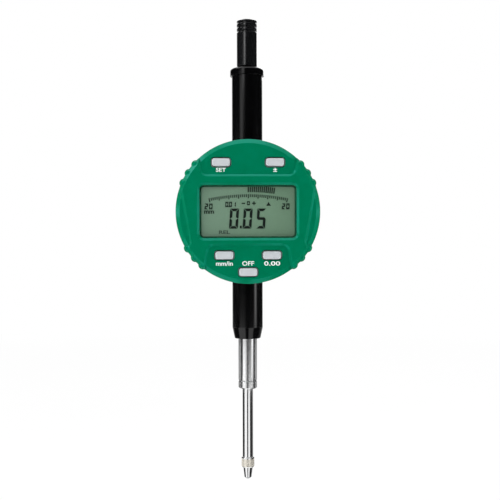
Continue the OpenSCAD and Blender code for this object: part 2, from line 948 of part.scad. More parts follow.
// Compression spring between the carriage and the end cap's plug
module return_spring() {
    sides = 6;
    per_turn = 12;
    rings = spring_turns * per_turn;
    wire_r = spring_wire / 2;
    low = carrier_high + axial_play + wire_r;
    rise = (plug_end - axial_play - wire_r - low) / rings;
    points = [for (i = [0 : rings], k = [0 : sides - 1])
        let (
            turn = 360 * i / per_turn,
            around_wire = 360 * k / sides,
            r = spring_r + wire_r * cos(around_wire)
        )
        [r * cos(turn), r * sin(turn), low + rise * i + wire_r * sin(around_wire)]
    ];
    walls = [for (i = [0 : rings - 1], k = [0 : sides - 1], half = [0, 1])
        let (a = i * sides + k, b = i * sides + (k + 1) % sides)
        half == 0 ? [a, b, b + sides] : [a, b + sides, a + sides]
    ];
    first = [for (k = [1 : sides - 2]) [0, k + 1, k]];
    last = [for (k = [1 : sides - 2]) rings * sides * [1, 1, 1] + [0, k, k + 1]];
    color(steel) polyhedron(points, concat(walls, first, last));
}

// Spindle

// Ground rod from the contact's seat up into the lifting cap
module spindle() {
    color(steel) difference() {
        drum(spindle_r, collar_top, spindle_top);
        drum(contact_thread_d / 2, collar_top - over, collar_top + contact_thread_length + thread_relief);
        translate([0, 0, pin_z]) rotate([-90, 0, 0]) drum(pin_r, carrier_wall, spindle_r + over);
    }
}

// Block on the rod that carries the scale and the guide pin
module scale_carrier() {
    color(dark) difference() {
        translate([-strip_half, -carrier_front, carrier_low])
            cube([2 * strip_half, 2 * carrier_front, carrier_high - carrier_low]);
        drum(spindle_r, carrier_low - over, carrier_high + over);
        translate([0, 0, pin_z]) rotate([-90, 0, 0]) drum(pin_r, 0, carrier_front + over);
        for (side = [-1, 1]) translate([0, 0, pin_z + side * grub_spread]) rotate([-90, 0, 0])
            drum(grub_r, 0, carrier_front + over);
    }
}

module scale_strip() {
    color(bronze) translate([-strip_half, -strip_front, strip_low])
        cube([2 * strip_half, strip_t, strip_high - strip_low]);
}

module carrier_screws() {
    color(dark) for (side = [-1, 1]) translate([0, 0, pin_z + side * grub_spread]) rotate([-90, 0, 0])
        drum(grub_r, spindle_r, carrier_front);
}

module guide_pin() {
    color(steel) translate([0, 0, pin_z]) rotate([-90, 0, 0])
        drum(pin_r, carrier_wall, frame_face - part_gap);
}

// Hollow cap that lifts the spindle, with grip grooves near its top
module lifting_cap() {
    cap_r = lifting_cap_d / 2;
    edge = cap_edge;
    grooves = [for (i = [0 : cap_groove_count - 1], step = [2, 3, 5, 6]) [
        cap_r - (step == 3 || step == 5 ? cap_groove_depth : 0),
        cap_top - edge - cap_groove_pitch * (i + step / 8)
    ]];
    color(black) difference() {
        rotate_extrude() polygon(concat(
            [[0, cap_top], [cap_r - 2 * edge, cap_top], [cap_r, cap_top - edge]], grooves,
            [[cap_r, cap_bottom + edge], [cap_r - edge, cap_bottom], [0, cap_bottom]]
        ));
        drum(spindle_r, cap_bottom - over, spindle_top);
    }
}

// Screwed-in contact: thread, knurled collar and cone with a seat for the ball
module contact_point() {
    collar_r = collar_d / 2;
    color(nickel) difference() {
        union() {
            drum(contact_thread_d / 2, collar_top - over, collar_top + contact_thread_length);
            rotate_extrude() polygon([
                [0, collar_top], [collar_r - collar_chamfer, collar_top],
                [collar_r, collar_top - collar_chamfer],
                [collar_r, collar_end + collar_chamfer], [collar_r - collar_chamfer, collar_end],
                [cone_d / 2, collar_end], [cone_end_d / 2, cone_end], [0, cone_end]
            ]);
        }
        translate([0, 0, ball_z]) sphere(d = ball_d);
    }
}

module contact_ball() {
    color(steel) translate([0, 0, ball_z]) sphere(d = ball_d);
}

front_case();
display_window();
display_glass();
display_holder();
contact_strips();
display_board();
display_board_screws();
dome_switches();
cable_socket();
head_back();
head_screws();
key_upper_left();
key_upper_right();
key_lower_left();
key_lower_right();
key_bottom();
frame_body();
friction_washer();
turn_ring();
turn_ring_screws();
reader_board();
reader_chips();
reader_screws();
display_cable();
battery();
battery_contacts();
back_cover();
back_screws();
battery_door();
upper_tube();
upper_end_cap();
upper_bush();
lower_tube();
stem();
stem_bush_upper();
stem_bush_lower();
return_spring();
spindle();
scale_carrier();
scale_strip();
carrier_screws();
guide_pin();
lifting_cap();
contact_point();
contact_ball();
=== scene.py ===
# A digital dial indicator dressed for its photograph: finishes, turned parts, legends, display and studio
import math

import bmesh
import bpy
from mathutils import Matrix, Quaternion, Vector


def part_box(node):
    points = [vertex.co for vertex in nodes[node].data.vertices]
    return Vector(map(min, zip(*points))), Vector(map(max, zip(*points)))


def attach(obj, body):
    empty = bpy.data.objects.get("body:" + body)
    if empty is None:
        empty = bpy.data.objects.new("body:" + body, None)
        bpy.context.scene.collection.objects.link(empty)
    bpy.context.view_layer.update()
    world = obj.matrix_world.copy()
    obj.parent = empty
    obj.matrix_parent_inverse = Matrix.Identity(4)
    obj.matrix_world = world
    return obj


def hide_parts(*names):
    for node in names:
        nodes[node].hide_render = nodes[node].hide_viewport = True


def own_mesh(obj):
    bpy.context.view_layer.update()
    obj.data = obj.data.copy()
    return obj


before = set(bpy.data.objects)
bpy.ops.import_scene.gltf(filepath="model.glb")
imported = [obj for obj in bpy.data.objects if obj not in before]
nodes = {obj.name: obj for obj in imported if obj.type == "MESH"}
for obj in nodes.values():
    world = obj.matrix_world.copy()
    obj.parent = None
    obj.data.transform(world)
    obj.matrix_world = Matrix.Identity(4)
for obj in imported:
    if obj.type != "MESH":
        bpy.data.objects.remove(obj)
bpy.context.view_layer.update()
scene = bpy.context.scene

# Sizes in millimetres, in the part's own frame: face towards -Y, spindle along Z
MM = 0.001
HEAD_Z = 65.0
GLASS_FRONT = 16.0
SUNK_FACE = 19.3

# Angles in degrees above which an edge is shaded sharp
SMOOTH = 32
MOULD_SMOOTH = 24
KNURL_SMOOTH = 20

# From the head's own space, x right, y up and z towards the viewer, to the part's frame
TO_HEAD = Matrix.Translation((0, 0, HEAD_Z * MM)) @ Matrix.Rotation(math.radians(90), 4, "X")


# Small helpers


def colour(code):
    """An sRGB hex value as linear red, green, blue and alpha."""
    shares = [int(code[i:i + 2], 16) / 255 for i in (1, 3, 5)]
    return [s / 12.92 if s <= 0.04045 else ((s + 0.055) / 1.055) ** 2.4 for s in shares] + [1.0]


def per(size):
    """A pattern's scale on Object coordinates, which are metres, for a feature of that many millimetres."""
    return 1000 / size


def add(tree, kind, sockets=None, **settings):
    """Add a node with its settings; a socket takes a value, or a link from another node's output."""
    node = tree.nodes.new(kind)
    for name, value in settings.items():
        setattr(node, name, value)
    for key, value in (sockets or {}).items():
        if isinstance(value, bpy.types.NodeSocket):
            tree.links.new(value, node.inputs[key])
        else:
            node.inputs[key].default_value = value
    return node


def put(name, data):
    """A new object in the scene with this data."""
    thing = bpy.data.objects.new(name, data)
    scene.collection.objects.link(thing)
    return thing


def final_mesh(thing):
    """The plain mesh that an object's modifiers or curve give."""
    bpy.context.view_layer.update()
    return bpy.data.meshes.new_from_object(thing.evaluated_get(bpy.context.evaluated_depsgraph_get()))


def shown(name, mesh, material, body, smooth=SMOOTH):
    """Put a mesh in the scene with its finish, smooth between sharp edges, riding on a body."""
    mesh.materials.clear()
    mesh.materials.append(material)
    mesh.shade_smooth()
    mesh.set_sharp_from_angle(angle=math.radians(smooth))
    thing = put(name, mesh)
    thing.modifiers.new("even", "WEIGHTED_NORMAL").keep_sharp = True
    even = final_mesh(thing)
    thing.modifiers.clear()
    thing.data = even
    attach(thing, body)
    return thing


def plain_mesh(name, work):
    """A plain mesh from a bmesh."""
    mesh = bpy.data.meshes.new(name)
    work.to_mesh(mesh)
    work.free()
    return mesh


def solid_mesh(name, work):
    """A plain mesh from a bmesh, with its faces turned outwards."""
    bmesh.ops.recalc_face_normals(work, faces=work.faces)
    return plain_mesh(name, work)


# Shapes

# A radius, in millimetres, that counts as on the spindle axis
ON_AXIS = 1e-6
# A corner this wide is left as it is; others take up to this share of the sides beside them
NEARLY_STRAIGHT = math.radians(172)
CORNER_SHARE = 0.45
CORNER_STEPS = 4
TURN_STEPS = 128
# Distances, in metres, at which points of a turned mesh and of a CAD mesh are one
TURN_MERGE = 1e-7
CAD_MERGE = 2e-6
# Edges of a CAD mesh that are flat, and outward ones sharp enough for a bevel
FLAT_EDGE = math.radians(0.5)
SHARP_EDGE = math.radians(22)
# Distance at which points of a letter are one, in the font's own unit
LETTER_MERGE = 1e-5


def arc(centre, radii, first, last, steps):
    """Points of radius and height on an ellipse, from one angle to another in degrees."""
    points = []
    for k in range(steps + 1):
        lean = math.radians(first + (last - first) * k / steps)
        across = centre[0] + radii[0] * math.cos(lean)
        points.append((max(0.0, across), centre[1] + radii[1] * math.sin(lean)))
    return points


def eased(outline, radius):
    """A closed outline with each corner turned into a small arc."""
    points = []
    for i, corner in enumerate(outline):
        here = Vector(corner)
        back = Vector(outline[i - 1]) - here
        ahead = Vector(outline[(i + 1) % len(outline)]) - here
        if here.x < ON_AXIS or back.angle(ahead) > NEARLY_STRAIGHT:
            points.append(here)
            continue
        reach = min(radius, CORNER_SHARE * back.length, CORNER_SHARE * ahead.length)
        start = here + back.normalized() * reach
        end = here + ahead.normalized() * reach
        for k in range(CORNER_STEPS + 1):
            t = k / CORNER_STEPS
            points.append((1 - t) ** 2 * start + 2 * t * (1 - t) * here + t * t * end)
    return points


def turned(name, outline, easing):
    """A mesh spun about the spindle axis from a closed outline of radius and height."""
    ring = eased(outline, easing)
    count = len(ring)
    work = bmesh.new()
    verts = []
    for k in range(TURN_STEPS):
        turn = 2 * math.pi * k / TURN_STEPS
        across, along = math.cos(turn) * MM, math.sin(turn) * MM
        verts.append([work.verts.new((p.x * across, p.x * along, p.y * MM)) for p in ring])
    for k in range(TURN_STEPS):
        here, ahead = verts[k], verts[(k + 1) % TURN_STEPS]
        for i in range(count):
            j = (i + 1) % count
            if ring[i].x < ON_AXIS and ring[j].x < ON_AXIS:
                continue
            work.faces.new((here[i], here[j], ahead[j], ahead[i]))
    bmesh.ops.remove_doubles(work, verts=work.verts, dist=TURN_MERGE)
    return solid_mesh(name, work)


def softened(node, width):
    """A copy of a CAD node's mesh, merged, with its outward sharp edges bevelled."""
    work = bmesh.new()
    work.from_mesh(nodes[node].data)
    bmesh.ops.remove_doubles(work, verts=work.verts, dist=CAD_MERGE)
    bmesh.ops.dissolve_limit(work, angle_limit=FLAT_EDGE, verts=work.verts, edges=work.edges)
    work.normal_update()
    weight = work.edges.layers.float.new("bevel_weight_edge")
    for edge in work.edges:
        edge[weight] = 1.0 if edge.calc_face_angle_signed(0.0) > SHARP_EDGE else 0.0
    thing = put(node, plain_mesh(node, work))
    bevel = thing.modifiers.new("edges", "BEVEL")
    bevel.width = width * MM
    bevel.segments = 2
    bevel.limit_method = "WEIGHT"
    bevel.use_clamp_overlap = False
    mesh = final_mesh(thing)
    bpy.data.objects.remove(thing)
    return mesh


def flat_shapes(name, outlines, low, high):
    """Thin plates in the head's own space from closed outlines in millimetres."""
    work = bmesh.new()
    for outline in outlines:
        under = [work.verts.new((x * MM, y * MM, low * MM)) for x, y in outline]
        over = [work.verts.new((x * MM, y * MM, high * MM)) for x, y in outline]
        work.faces.new(under)
        work.faces.new(over)
        for i in range(len(outline)):
            j = (i + 1) % len(outline)
            work.faces.new((under[i], under[j], over[j], over[i]))
    work.transform(TO_HEAD)
    return solid_mesh(name, work)


def lettering(name, text, box, low, high, weight):
    """Raised print in the head's own space: text fitted into a box of left, bottom, right and top."""
    curve = bpy.data.curves.new(name, "FONT")
    curve.body = text
    curve.extrude = 0.5
    curve.offset = weight
    curve.resolution_u = 4
    thing = put(name, curve)
    mesh = final_mesh(thing)
    bpy.data.objects.remove(thing)
    work = bmesh.new()
    work.from_mesh(mesh)
    bmesh.ops.remove_doubles(work, verts=work.verts, dist=LETTER_MERGE)
    xs = [v.co.x for v in work.verts]
    ys = [v.co.y for v in work.verts]
    first_x, wide = min(xs), max(xs) - min(xs)
    first_y, tall = min(ys), max(ys) - min(ys)
    left, bottom, right, top = box
    for v in work.verts:
        v.co.x = (left + (v.co.x - first_x) / wide * (right - left)) * MM
        v.co.y = (bottom + (v.co.y - first_y) / tall * (top - bottom)) * MM
        v.co.z = (high if v.co.z > 0 else low) * MM
    work.transform(TO_HEAD)
    return solid_mesh(name, work)


# Patterns that repeat, as Geometry Nodes


def new_tree(name, sizes):
    """A Geometry Nodes tree with named inputs, its input sockets, and each input's identifier."""
    tree = bpy.data.node_groups.new(name, "GeometryNodeTree")
    tree.interface.new_socket("Geometry", in_out="OUTPUT", socket_type="NodeSocketGeometry")
    keys = {}
    for label, kind in sizes.items():
        socket = tree.interface.new_socket(label, in_out="INPUT", socket_type="NodeSocket" + kind)
        keys[label] = socket.identifier
    return tree, add(tree, "NodeGroupInput").outputs, keys


def end_tree(tree, geometry, material):
    """End a tree with real geometry in its material."""
    real = add(tree, "GeometryNodeRealizeInstances", {"Geometry": geometry}).outputs[0]
    dressed = add(tree, "GeometryNodeSetMaterial", {"Geometry": real, "Material": material}).outputs[0]
    add(tree, "NodeGroupOutput", {"Geometry": dressed})


def grown(name, tree, keys, values):
    """The plain mesh that a tree makes with these values."""
    thing = put(name, bpy.data.meshes.new(name))
    modifier = thing.modifiers.new("grow", "NODES")
    modifier.node_group = tree
    for label, value in values.items():
        modifier[keys[label]] = value
    mesh = final_mesh(thing)
    thing.modifiers.clear()
    bpy.data.objects.remove(thing)
    return mesh


def marks_tree():
    """Radial marks along an arc, every few of them longer, such as a display's scale."""
    tree, given, keys = new_tree("radial_marks", {
        "Count": "Int", "First": "Int", "Step": "Float", "Radius": "Float", "Short": "Float",
        "Long": "Float", "Every": "Int", "Width": "Float", "Thickness": "Float", "Material": "Material",
    })
    index = add(tree, "GeometryNodeInputIndex").outputs[0]
    number = add(tree, "ShaderNodeMath", {0: index, 1: given["First"]}, operation="ADD").outputs[0]
    angle = add(tree, "ShaderNodeMath", {0: number, 1: given["Step"]}, operation="MULTIPLY").outputs[0]
    sine = add(tree, "ShaderNodeMath", {0: angle}, operation="SINE").outputs[0]
    cosine = add(tree, "ShaderNodeMath", {0: angle}, operation="COSINE").outputs[0]
    x = add(tree, "ShaderNodeMath", {0: sine, 1: given["Radius"]}, operation="MULTIPLY").outputs[0]
    y = add(tree, "ShaderNodeMath", {0: cosine, 1: given["Radius"]}, operation="MULTIPLY").outputs[0]
    spot = add(tree, "ShaderNodeCombineXYZ", {"X": x, "Y": y}).outputs[0]
    line = add(tree, "GeometryNodeMeshLine", {"Count": given["Count"], "Offset": (0, 0, 0)}).outputs[0]
    points = add(tree, "GeometryNodeSetPosition", {"Geometry": line, "Position": spot}).outputs[0]
    sockets = {0: number, 1: given["Every"]}
    rest = add(tree, "ShaderNodeMath", sockets, operation="FLOORED_MODULO").outputs[0]
    is_long = add(tree, "ShaderNodeMath", {0: rest, 1: 0.5}, operation="LESS_THAN").outputs[0]
    sockets = {0: given["Long"], 1: given["Short"]}
    extra = add(tree, "ShaderNodeMath", sockets, operation="SUBTRACT").outputs[0]
    sockets = {0: is_long, 1: extra, 2: given["Short"]}
    length = add(tree, "ShaderNodeMath", sockets, operation="MULTIPLY_ADD").outputs[0]
    cube = add(tree, "GeometryNodeMeshCube", {"Size": (1, 1, 1)}).outputs[0]
    hung = add(tree, "GeometryNodeTransform", {"Geometry": cube, "Translation": (0, -0.5, 0)}).outputs[0]
    back = add(tree, "ShaderNodeMath", {0: angle, 1: -1.0}, operation="MULTIPLY").outputs[0]
    turn = add(tree, "ShaderNodeCombineXYZ", {"Z": back}).outputs[0]
    sockets = {"X": given["Width"], "Y": length, "Z": given["Thickness"]}
    size = add(tree, "ShaderNodeCombineXYZ", sockets).outputs[0]
    sockets = {"Points": points, "Instance": hung, "Rotation": turn, "Scale": size}
    placed = add(tree, "GeometryNodeInstanceOnPoints", sockets).outputs[0]
    end_tree(tree, placed, given["Material"])
    return tree, keys


def knurl_tree():
    """Straight ridges round an upright collar."""
    tree, given, keys = new_tree("straight_knurl", {
        "Count": "Int", "Radius": "Float", "Height": "Float", "Ridge": "Float", "Middle": "Float",
        "Material": "Material",
    })
    sockets = {"Vertices": given["Count"], "Radius": given["Radius"]}
    circle = add(tree, "GeometryNodeMeshCircle", sockets).outputs[0]
    index = add(tree, "GeometryNodeInputIndex").outputs[0]
    share = add(tree, "ShaderNodeMath", {0: index, 1: given["Count"]}, operation="DIVIDE").outputs[0]
    sockets = {0: share, 1: 2 * math.pi, 2: math.pi / 4}
    angle = add(tree, "ShaderNodeMath", sockets, operation="MULTIPLY_ADD").outputs[0]
    turn = add(tree, "ShaderNodeCombineXYZ", {"Z": angle}).outputs[0]
    sockets = {"X": given["Ridge"], "Y": given["Ridge"], "Z": given["Height"]}
    size = add(tree, "ShaderNodeCombineXYZ", sockets).outputs[0]
    cube = add(tree, "GeometryNodeMeshCube", {"Size": (1, 1, 1)}).outputs[0]
    sockets = {"Points": circle, "Instance": cube, "Rotation": turn, "Scale": size}
    placed = add(tree, "GeometryNodeInstanceOnPoints", sockets).outputs[0]
    shift = add(tree, "ShaderNodeCombineXYZ", {"Z": given["Middle"]}).outputs[0]
    raised = add(tree, "GeometryNodeTransform", {"Geometry": placed, "Translation": shift}).outputs[0]
    end_tree(tree, raised, given["Material"])
    return tree, keys


# Turns in radians: of a set's first screw, and of each screw past the one before it
FIRST_TURN = 0.35
NEXT_TURN = 0.9


def screws_tree():
    """The same screw at the four corners of a rectangle, each turned further than the one before."""
    tree, given, keys = new_tree("corner_screws", {
        "Screw": "Object", "Size X": "Float", "Size Y": "Float", "Material": "Material",
    })
    sockets = {"Size X": given["Size X"], "Size Y": given["Size Y"], "Vertices X": 2, "Vertices Y": 2}
    corners = add(tree, "GeometryNodeMeshGrid", sockets).outputs[0]
    screw = add(tree, "GeometryNodeObjectInfo", {"Object": given["Screw"]}).outputs["Geometry"]
    index = add(tree, "GeometryNodeInputIndex").outputs[0]
    sockets = {0: index, 1: NEXT_TURN, 2: FIRST_TURN}
    angle = add(tree, "ShaderNodeMath", sockets, operation="MULTIPLY_ADD").outputs[0]
    turn = add(tree, "ShaderNodeCombineXYZ", {"Z": angle}).outputs[0]
    sockets = {"Points": corners, "Instance": screw, "Rotation": turn}
    placed = add(tree, "GeometryNodeInstanceOnPoints", sockets).outputs[0]
    end_tree(tree, placed, given["Material"])
    return tree, keys


def spring_tree():
    """A round wire wound into a compression spring about the spindle axis."""
    tree, given, keys = new_tree("wound_spring", {
        "Turns": "Float", "Radius": "Float", "Height": "Float", "Wire": "Float", "Bottom": "Float",
        "Material": "Material",
    })
    sockets = {
        "Resolution": 32, "Rotations": given["Turns"], "Start Radius": given["Radius"],
        "End Radius": given["Radius"], "Height": given["Height"], "Reverse": True,
    }
    coil = add(tree, "GeometryNodeCurveSpiral", sockets).outputs[0]
    half = add(tree, "ShaderNodeMath", {0: given["Wire"], 1: 0.5}, operation="MULTIPLY").outputs[0]
    ring = add(tree, "GeometryNodeCurvePrimitiveCircle", {"Resolution": 12, "Radius": half}).outputs[0]
    sockets = {"Curve": coil, "Profile Curve": ring, "Fill Caps": True}
    wire = add(tree, "GeometryNodeCurveToMesh", sockets).outputs[0]
    shift = add(tree, "ShaderNodeCombineXYZ", {"Z": given["Bottom"]}).outputs[0]
    raised = add(tree, "GeometryNodeTransform", {"Geometry": wire, "Translation": shift}).outputs[0]
    end_tree(tree, raised, given["Material"])
    return tree, keys


# Finishes


def finish(name, **sockets):
    """Start a material: its tree, its Principled shader with constant sockets, and Object coordinates."""
    material = bpy.data.materials.new(name)
    material.use_nodes = True
    tree = material.node_tree
    tree.nodes.clear()
    constants = {}
    for key, value in sockets.items():
        constants[key.replace("_", " ").title().replace("Ior", "IOR")] = value
    shader = add(tree, "ShaderNodeBsdfPrincipled", constants)
    add(tree, "ShaderNodeOutputMaterial", {"Surface": shader.outputs["BSDF"]})
    return material, tree, shader, add(tree, "ShaderNodeTexCoord").outputs["Object"]


def surface(tree, shader, cloud, tones, grain, gloss, strength, depth):
    """Feed a shader two tones mixed by a cloud, and a roughness and bumps, in millimetres, by a grain."""
    sockets = {0: cloud.outputs["Fac"], 6: colour(tones[0]), 7: colour(tones[1])}
    skin = add(tree, "ShaderNodeMix", sockets, data_type="RGBA")
    sockets = {"Value": grain.outputs["Fac"], "To Min": gloss[0], "To Max": gloss[1]}
    level = add(tree, "ShaderNodeMapRange", sockets)
    sockets = {"Height": grain.outputs["Fac"], "Strength": strength, "Distance": depth * MM}
    bumps = add(tree, "ShaderNodeBump", sockets)
    tree.links.new(skin.outputs[2], shader.inputs["Base Color"])
    tree.links.new(level.outputs[0], shader.inputs["Roughness"])
    tree.links.new(bumps.outputs[0], shader.inputs["Normal"])


def moulded_abs_green():
    """Injection-moulded ABS: a satin green skin with fine spark-eroded grain and faint flow mottling."""
    tint = colour("#27f9ff")
    material, tree, shader, place = finish("moulded_abs_green", ior=1.53, specular_tint=tint)
    mottle = add(tree, "ShaderNodeTexNoise", {"Vector": place, "Scale": per(4.0), "Detail": 3.0})
    # The real grain is about 0.05 mm; it is drawn at 0.22 mm so that it shows
    grain = add(tree, "ShaderNodeTexNoise", {"Vector": place, "Scale": per(0.22), "Detail": 2.0})
    surface(tree, shader, mottle, ("#007049", "#007a56"), grain, (0.13, 0.22), strength=0.12, depth=0.05)
    return material


def anodised_aluminium_black(name, ior):
    """Turned, black-anodised aluminium: deep black with a soft upright highlight and faint tool lines."""
    material, tree, shader, place = finish(name, ior=ior)
    cloud = add(tree, "ShaderNodeTexNoise", {"Vector": place, "Scale": per(6.0), "Detail": 4.0})
    # Tool feed is about 0.1 mm; its lines are drawn at 0.45 mm so that they show
    stretch = add(tree, "ShaderNodeMapping", {"Vector": place, "Scale": (0.02, 0.02, 1.0)})
    sockets = {"Vector": stretch.outputs[0], "Scale": per(0.45), "Detail": 2.0}
    lines = add(tree, "ShaderNodeTexNoise", sockets)
    surface(tree, shader, cloud, ("#020203", "#050506"), lines, (0.12, 0.2), strength=0.06, depth=0.03)
    return material


def moulded_nylon_black():
    """Glass-filled nylon: matt black with an even eroded grain that breaks the highlights."""
    material, tree, shader, place = finish("moulded_nylon_black", ior=1.52)
    cloud = add(tree, "ShaderNodeTexNoise", {"Vector": place, "Scale": per(5.0), "Detail": 4.0})
    # The real grain is about 0.1 mm; it is drawn at 0.25 mm so that it shows
    grain = add(tree, "ShaderNodeTexNoise", {"Vector": place, "Scale": per(0.25), "Detail": 3.0})
    surface(tree, shader, cloud, ("#121314", "#1d1f21"), grain, (0.42, 0.62), strength=0.3, depth=0.08)
    return material


def turned_acetal_black():
    """Turned black acetal: a waxy satin black whose tool lines catch thin bright arcs."""
    material, tree, shader, place = finish("turned_acetal_black", ior=1.58)
    cloud = add(tree, "ShaderNodeTexNoise", {"Vector": place, "Scale": per(3.0), "Detail": 3.0})
    # Tool feed is about 0.1 mm; its lines are drawn at 0.4 mm so that they show
    stretch = add(tree, "ShaderNodeMapping", {"Vector": place, "Scale": (0.03, 0.03, 1.0)})
    sockets = {"Vector": stretch.outputs[0], "Scale": per(0.4), "Detail": 2.0}
    lines = add(tree, "ShaderNodeTexNoise", sockets)
    surface(tree, shader, cloud, ("#08090a", "#101113"), lines, (0.15, 0.24), strength=0.1, depth=0.04)
    return material


def steel(name, tones, gloss, rings):
    """Bright metal with fine rings from grinding or turning, which smear its reflections."""
    material, tree, shader, place = finish(name, metallic=1.0)
    # Grinding lines are some 0.03 mm apart; they are drawn at 0.3 mm so that they show
    stretch = add(tree, "ShaderNodeMapping", {"Vector": place, "Scale": (0.02, 0.02, 1.0)})
    sockets = {"Vector": stretch.outputs[0], "Scale": per(0.3), "Detail": 4.0}
    lines = add(tree, "ShaderNodeTexNoise", sockets)
    surface(tree, shader, lines, tones, lines, gloss, strength=rings, depth=0.02)
    return material


def moulded_key_plastic():
    """Light grey moulded ABS: a clean matt face with the faintest grain."""
    material, tree, shader, place = finish("moulded_key_plastic", ior=1.53)
    cloud = add(tree, "ShaderNodeTexNoise", {"Vector": place, "Scale": per(1.6), "Detail": 2.0})
    # The real grain is about 0.05 mm; it is drawn at 0.18 mm so that it shows
    grain = add(tree, "ShaderNodeTexNoise", {"Vector": place, "Scale": per(0.18), "Detail": 2.0})
    surface(tree, shader, cloud, ("#bdc2c6", "#c8cccf"), grain, (0.38, 0.52), strength=0.1, depth=0.04)
    return material


def reflective_display():
    """Liquid crystal glass over a reflector: soft grey-green with fine speckle, and painted light that makes
    it lighter to the left.
    """
    material, tree, shader, place = finish("reflective_display", roughness=0.34, ior=1.5)
    # Painted light: the ground runs from a lighter tone on the left to a darker one on the right, as the
    # light falls from the left
    sides = add(tree, "ShaderNodeSeparateXYZ", {"Vector": place})
    sockets = {"Value": sides.outputs["X"], "From Min": -19 * MM, "From Max": 12 * MM}
    share = add(tree, "ShaderNodeMapRange", sockets)
    sockets = {0: share.outputs[0], 6: colour("#90aa97"), 7: colour("#87a38c")}
    ground = add(tree, "ShaderNodeMix", sockets, data_type="RGBA")
    # The reflector's grit is some 0.03 mm; it is drawn at 0.3 mm so that it shows
    speckle = add(tree, "ShaderNodeTexNoise", {"Vector": place, "Scale": per(0.3), "Detail": 2.0})
    sockets = {"Value": speckle.outputs["Fac"], "To Min": 0.93, "To Max": 1.07}
    level = add(tree, "ShaderNodeMapRange", sockets)
    sockets = {0: ground.outputs[2], 1: level.outputs[0]}
    speckled_ground_with_painted_light = add(tree, "ShaderNodeVectorMath", sockets, operation="MULTIPLY")
    tree.links.new(speckled_ground_with_painted_light.outputs[0], shader.inputs["Base Color"])
    return material


def print_ink(name, low, high, rough):
    """A thin printed or switched layer: one even tone, a little uneven where the ink lies thin."""
    material, tree, shader, place = finish(name, roughness=rough)
    cloud = add(tree, "ShaderNodeTexNoise", {"Vector": place, "Scale": per(0.5), "Detail": 2.0})
    sockets = {0: cloud.outputs["Fac"], 6: colour(low), 7: colour(high)}
    skin = add(tree, "ShaderNodeMix", sockets, data_type="RGBA")
    tree.links.new(skin.outputs[2], shader.inputs["Base Color"])
    return material


def clear_acrylic():
    """A thin clear acrylic window: almost unseen, with a gloss that grows at a slant and hairline wear."""
    material, tree, shader, place = finish("clear_acrylic")
    wear = add(tree, "ShaderNodeTexNoise", {"Vector": place, "Scale": per(2.0), "Detail": 5.0})
    sockets = {"Value": wear.outputs["Fac"], "To Min": 0.02, "To Max": 0.08}
    worn = add(tree, "ShaderNodeMapRange", sockets)
    sockets = {"Color": colour("#ffffff"), "Roughness": worn.outputs[0]}
    gloss = add(tree, "ShaderNodeBsdfGlossy", sockets)
    clear = add(tree, "ShaderNodeBsdfTransparent", {"Color": colour("#f9fcfa")})
    # Acrylic mirrors 4 % straight on and everything at a grazing angle
    slant = add(tree, "ShaderNodeLayerWeight", {"Blend": 0.5}).outputs["Facing"]
    steep = add(tree, "ShaderNodeMath", {0: slant, 1: 5.0}, operation="POWER").outputs[0]
    sockets = {0: steep, 1: 0.96, 2: 0.04}
    mirror = add(tree, "ShaderNodeMath", sockets, operation="MULTIPLY_ADD").outputs[0]
    both = add(tree, "ShaderNodeMixShader", {0: mirror, 1: clear.outputs[0], 2: gloss.outputs[0]})
    tree.nodes.remove(shader)
    output = next(n for n in tree.nodes if n.type == "OUTPUT_MATERIAL")
    tree.links.new(both.outputs[0], output.inputs["Surface"])
    return material


def plain_part(name, low, high, grain, rough, metallic=0.0):
    """A plain finish: its own colour, slightly clouded, with a roughness that varies with its grain."""
    material, tree, shader, place = finish(name, metallic=metallic)
    cloud = add(tree, "ShaderNodeTexNoise", {"Vector": place, "Scale": per(grain), "Detail": 4.0})
    spread = 0.07
    gloss = (rough - spread, rough + spread)
    surface(tree, shader, cloud, (low, high), cloud, gloss, strength=0.1, depth=0.05)
    return material


# The display head's satin green
case_green = moulded_abs_green()
# Deep black of the tubes, with one soft upright streak
tube_black = anodised_aluminium_black("anodised_aluminium_black", ior=1.5)
# The same black under a sealed coat that mirrors less, for the end cap
end_black = anodised_aluminium_black("sealed_anodised_aluminium_black", ior=1.36)
# Matt black of the pieces behind the face
body_black = moulded_nylon_black()
# Waxy black of the lifting cap
cap_black = turned_acetal_black()
# Bright stem whose upright streaks are broken by fine rings
ground_steel = steel("ground_stainless_steel", ("#e8e9ea", "#f8f8f8"), gloss=(0.13, 0.22), rings=0.2)
# Near mirror of spindle and cone, with hard light and dark stripes
polished_steel = steel("lapped_stainless_steel", ("#f0f1f2", "#fbfbfb"), gloss=(0.06, 0.12), rings=0.1)
# Warm pale satin of the collar's knurled band
nickel = plain_part("bead_blasted_nickel", "#f2ecdf", "#fdf8ec", grain=0.3, rough=0.42, metallic=0.8)
# Darker grey glint of the contact ball
carbide = steel("ground_carbide", ("#7d8084", "#96999d"), gloss=(0.1, 0.2), rings=0.1)
# Dull white metal of screws, battery and stamped plates
zinc = steel("zinc_plated_steel", ("#a4a7aa", "#c2c5c8"), gloss=(0.26, 0.4), rings=0.2)
# Clean light grey of the keys
key_grey = moulded_key_plastic()
# Grey-green ground that the figures stand on, with painted light that makes it lighter to the left
display_ground = reflective_display()
# Near-black figures, scale and signs
display_dark = print_ink("display_segments", "#080b0f", "#10151a", rough=0.4)
# The one word that is only half dark
display_faint = print_ink("display_faint_segments", "#46564f", "#536259", rough=0.4)
# Crisp white key legends
white_print = print_ink("white_pad_print", "#f0f3f2", "#fbfdfc", rough=0.45)
# A window that shows only as gloss at a slant
window_clear = clear_acrylic()
# Warm brown metal of bushes, contacts and scale, slightly clouded
bronze = plain_part("sintered_bronze", "#8f6f3f", "#b28d57", grain=0.4, rough=0.4, metallic=1.0)
# Dark green lacquer in soft patches
board_green = plain_part("circuit_board", "#1f5436", "#2c6a45", grain=1.2, rough=0.4)
# Dull black chips
chip_black = plain_part("moulded_epoxy", "#1a1b1d", "#27292c", grain=0.5, rough=0.5)
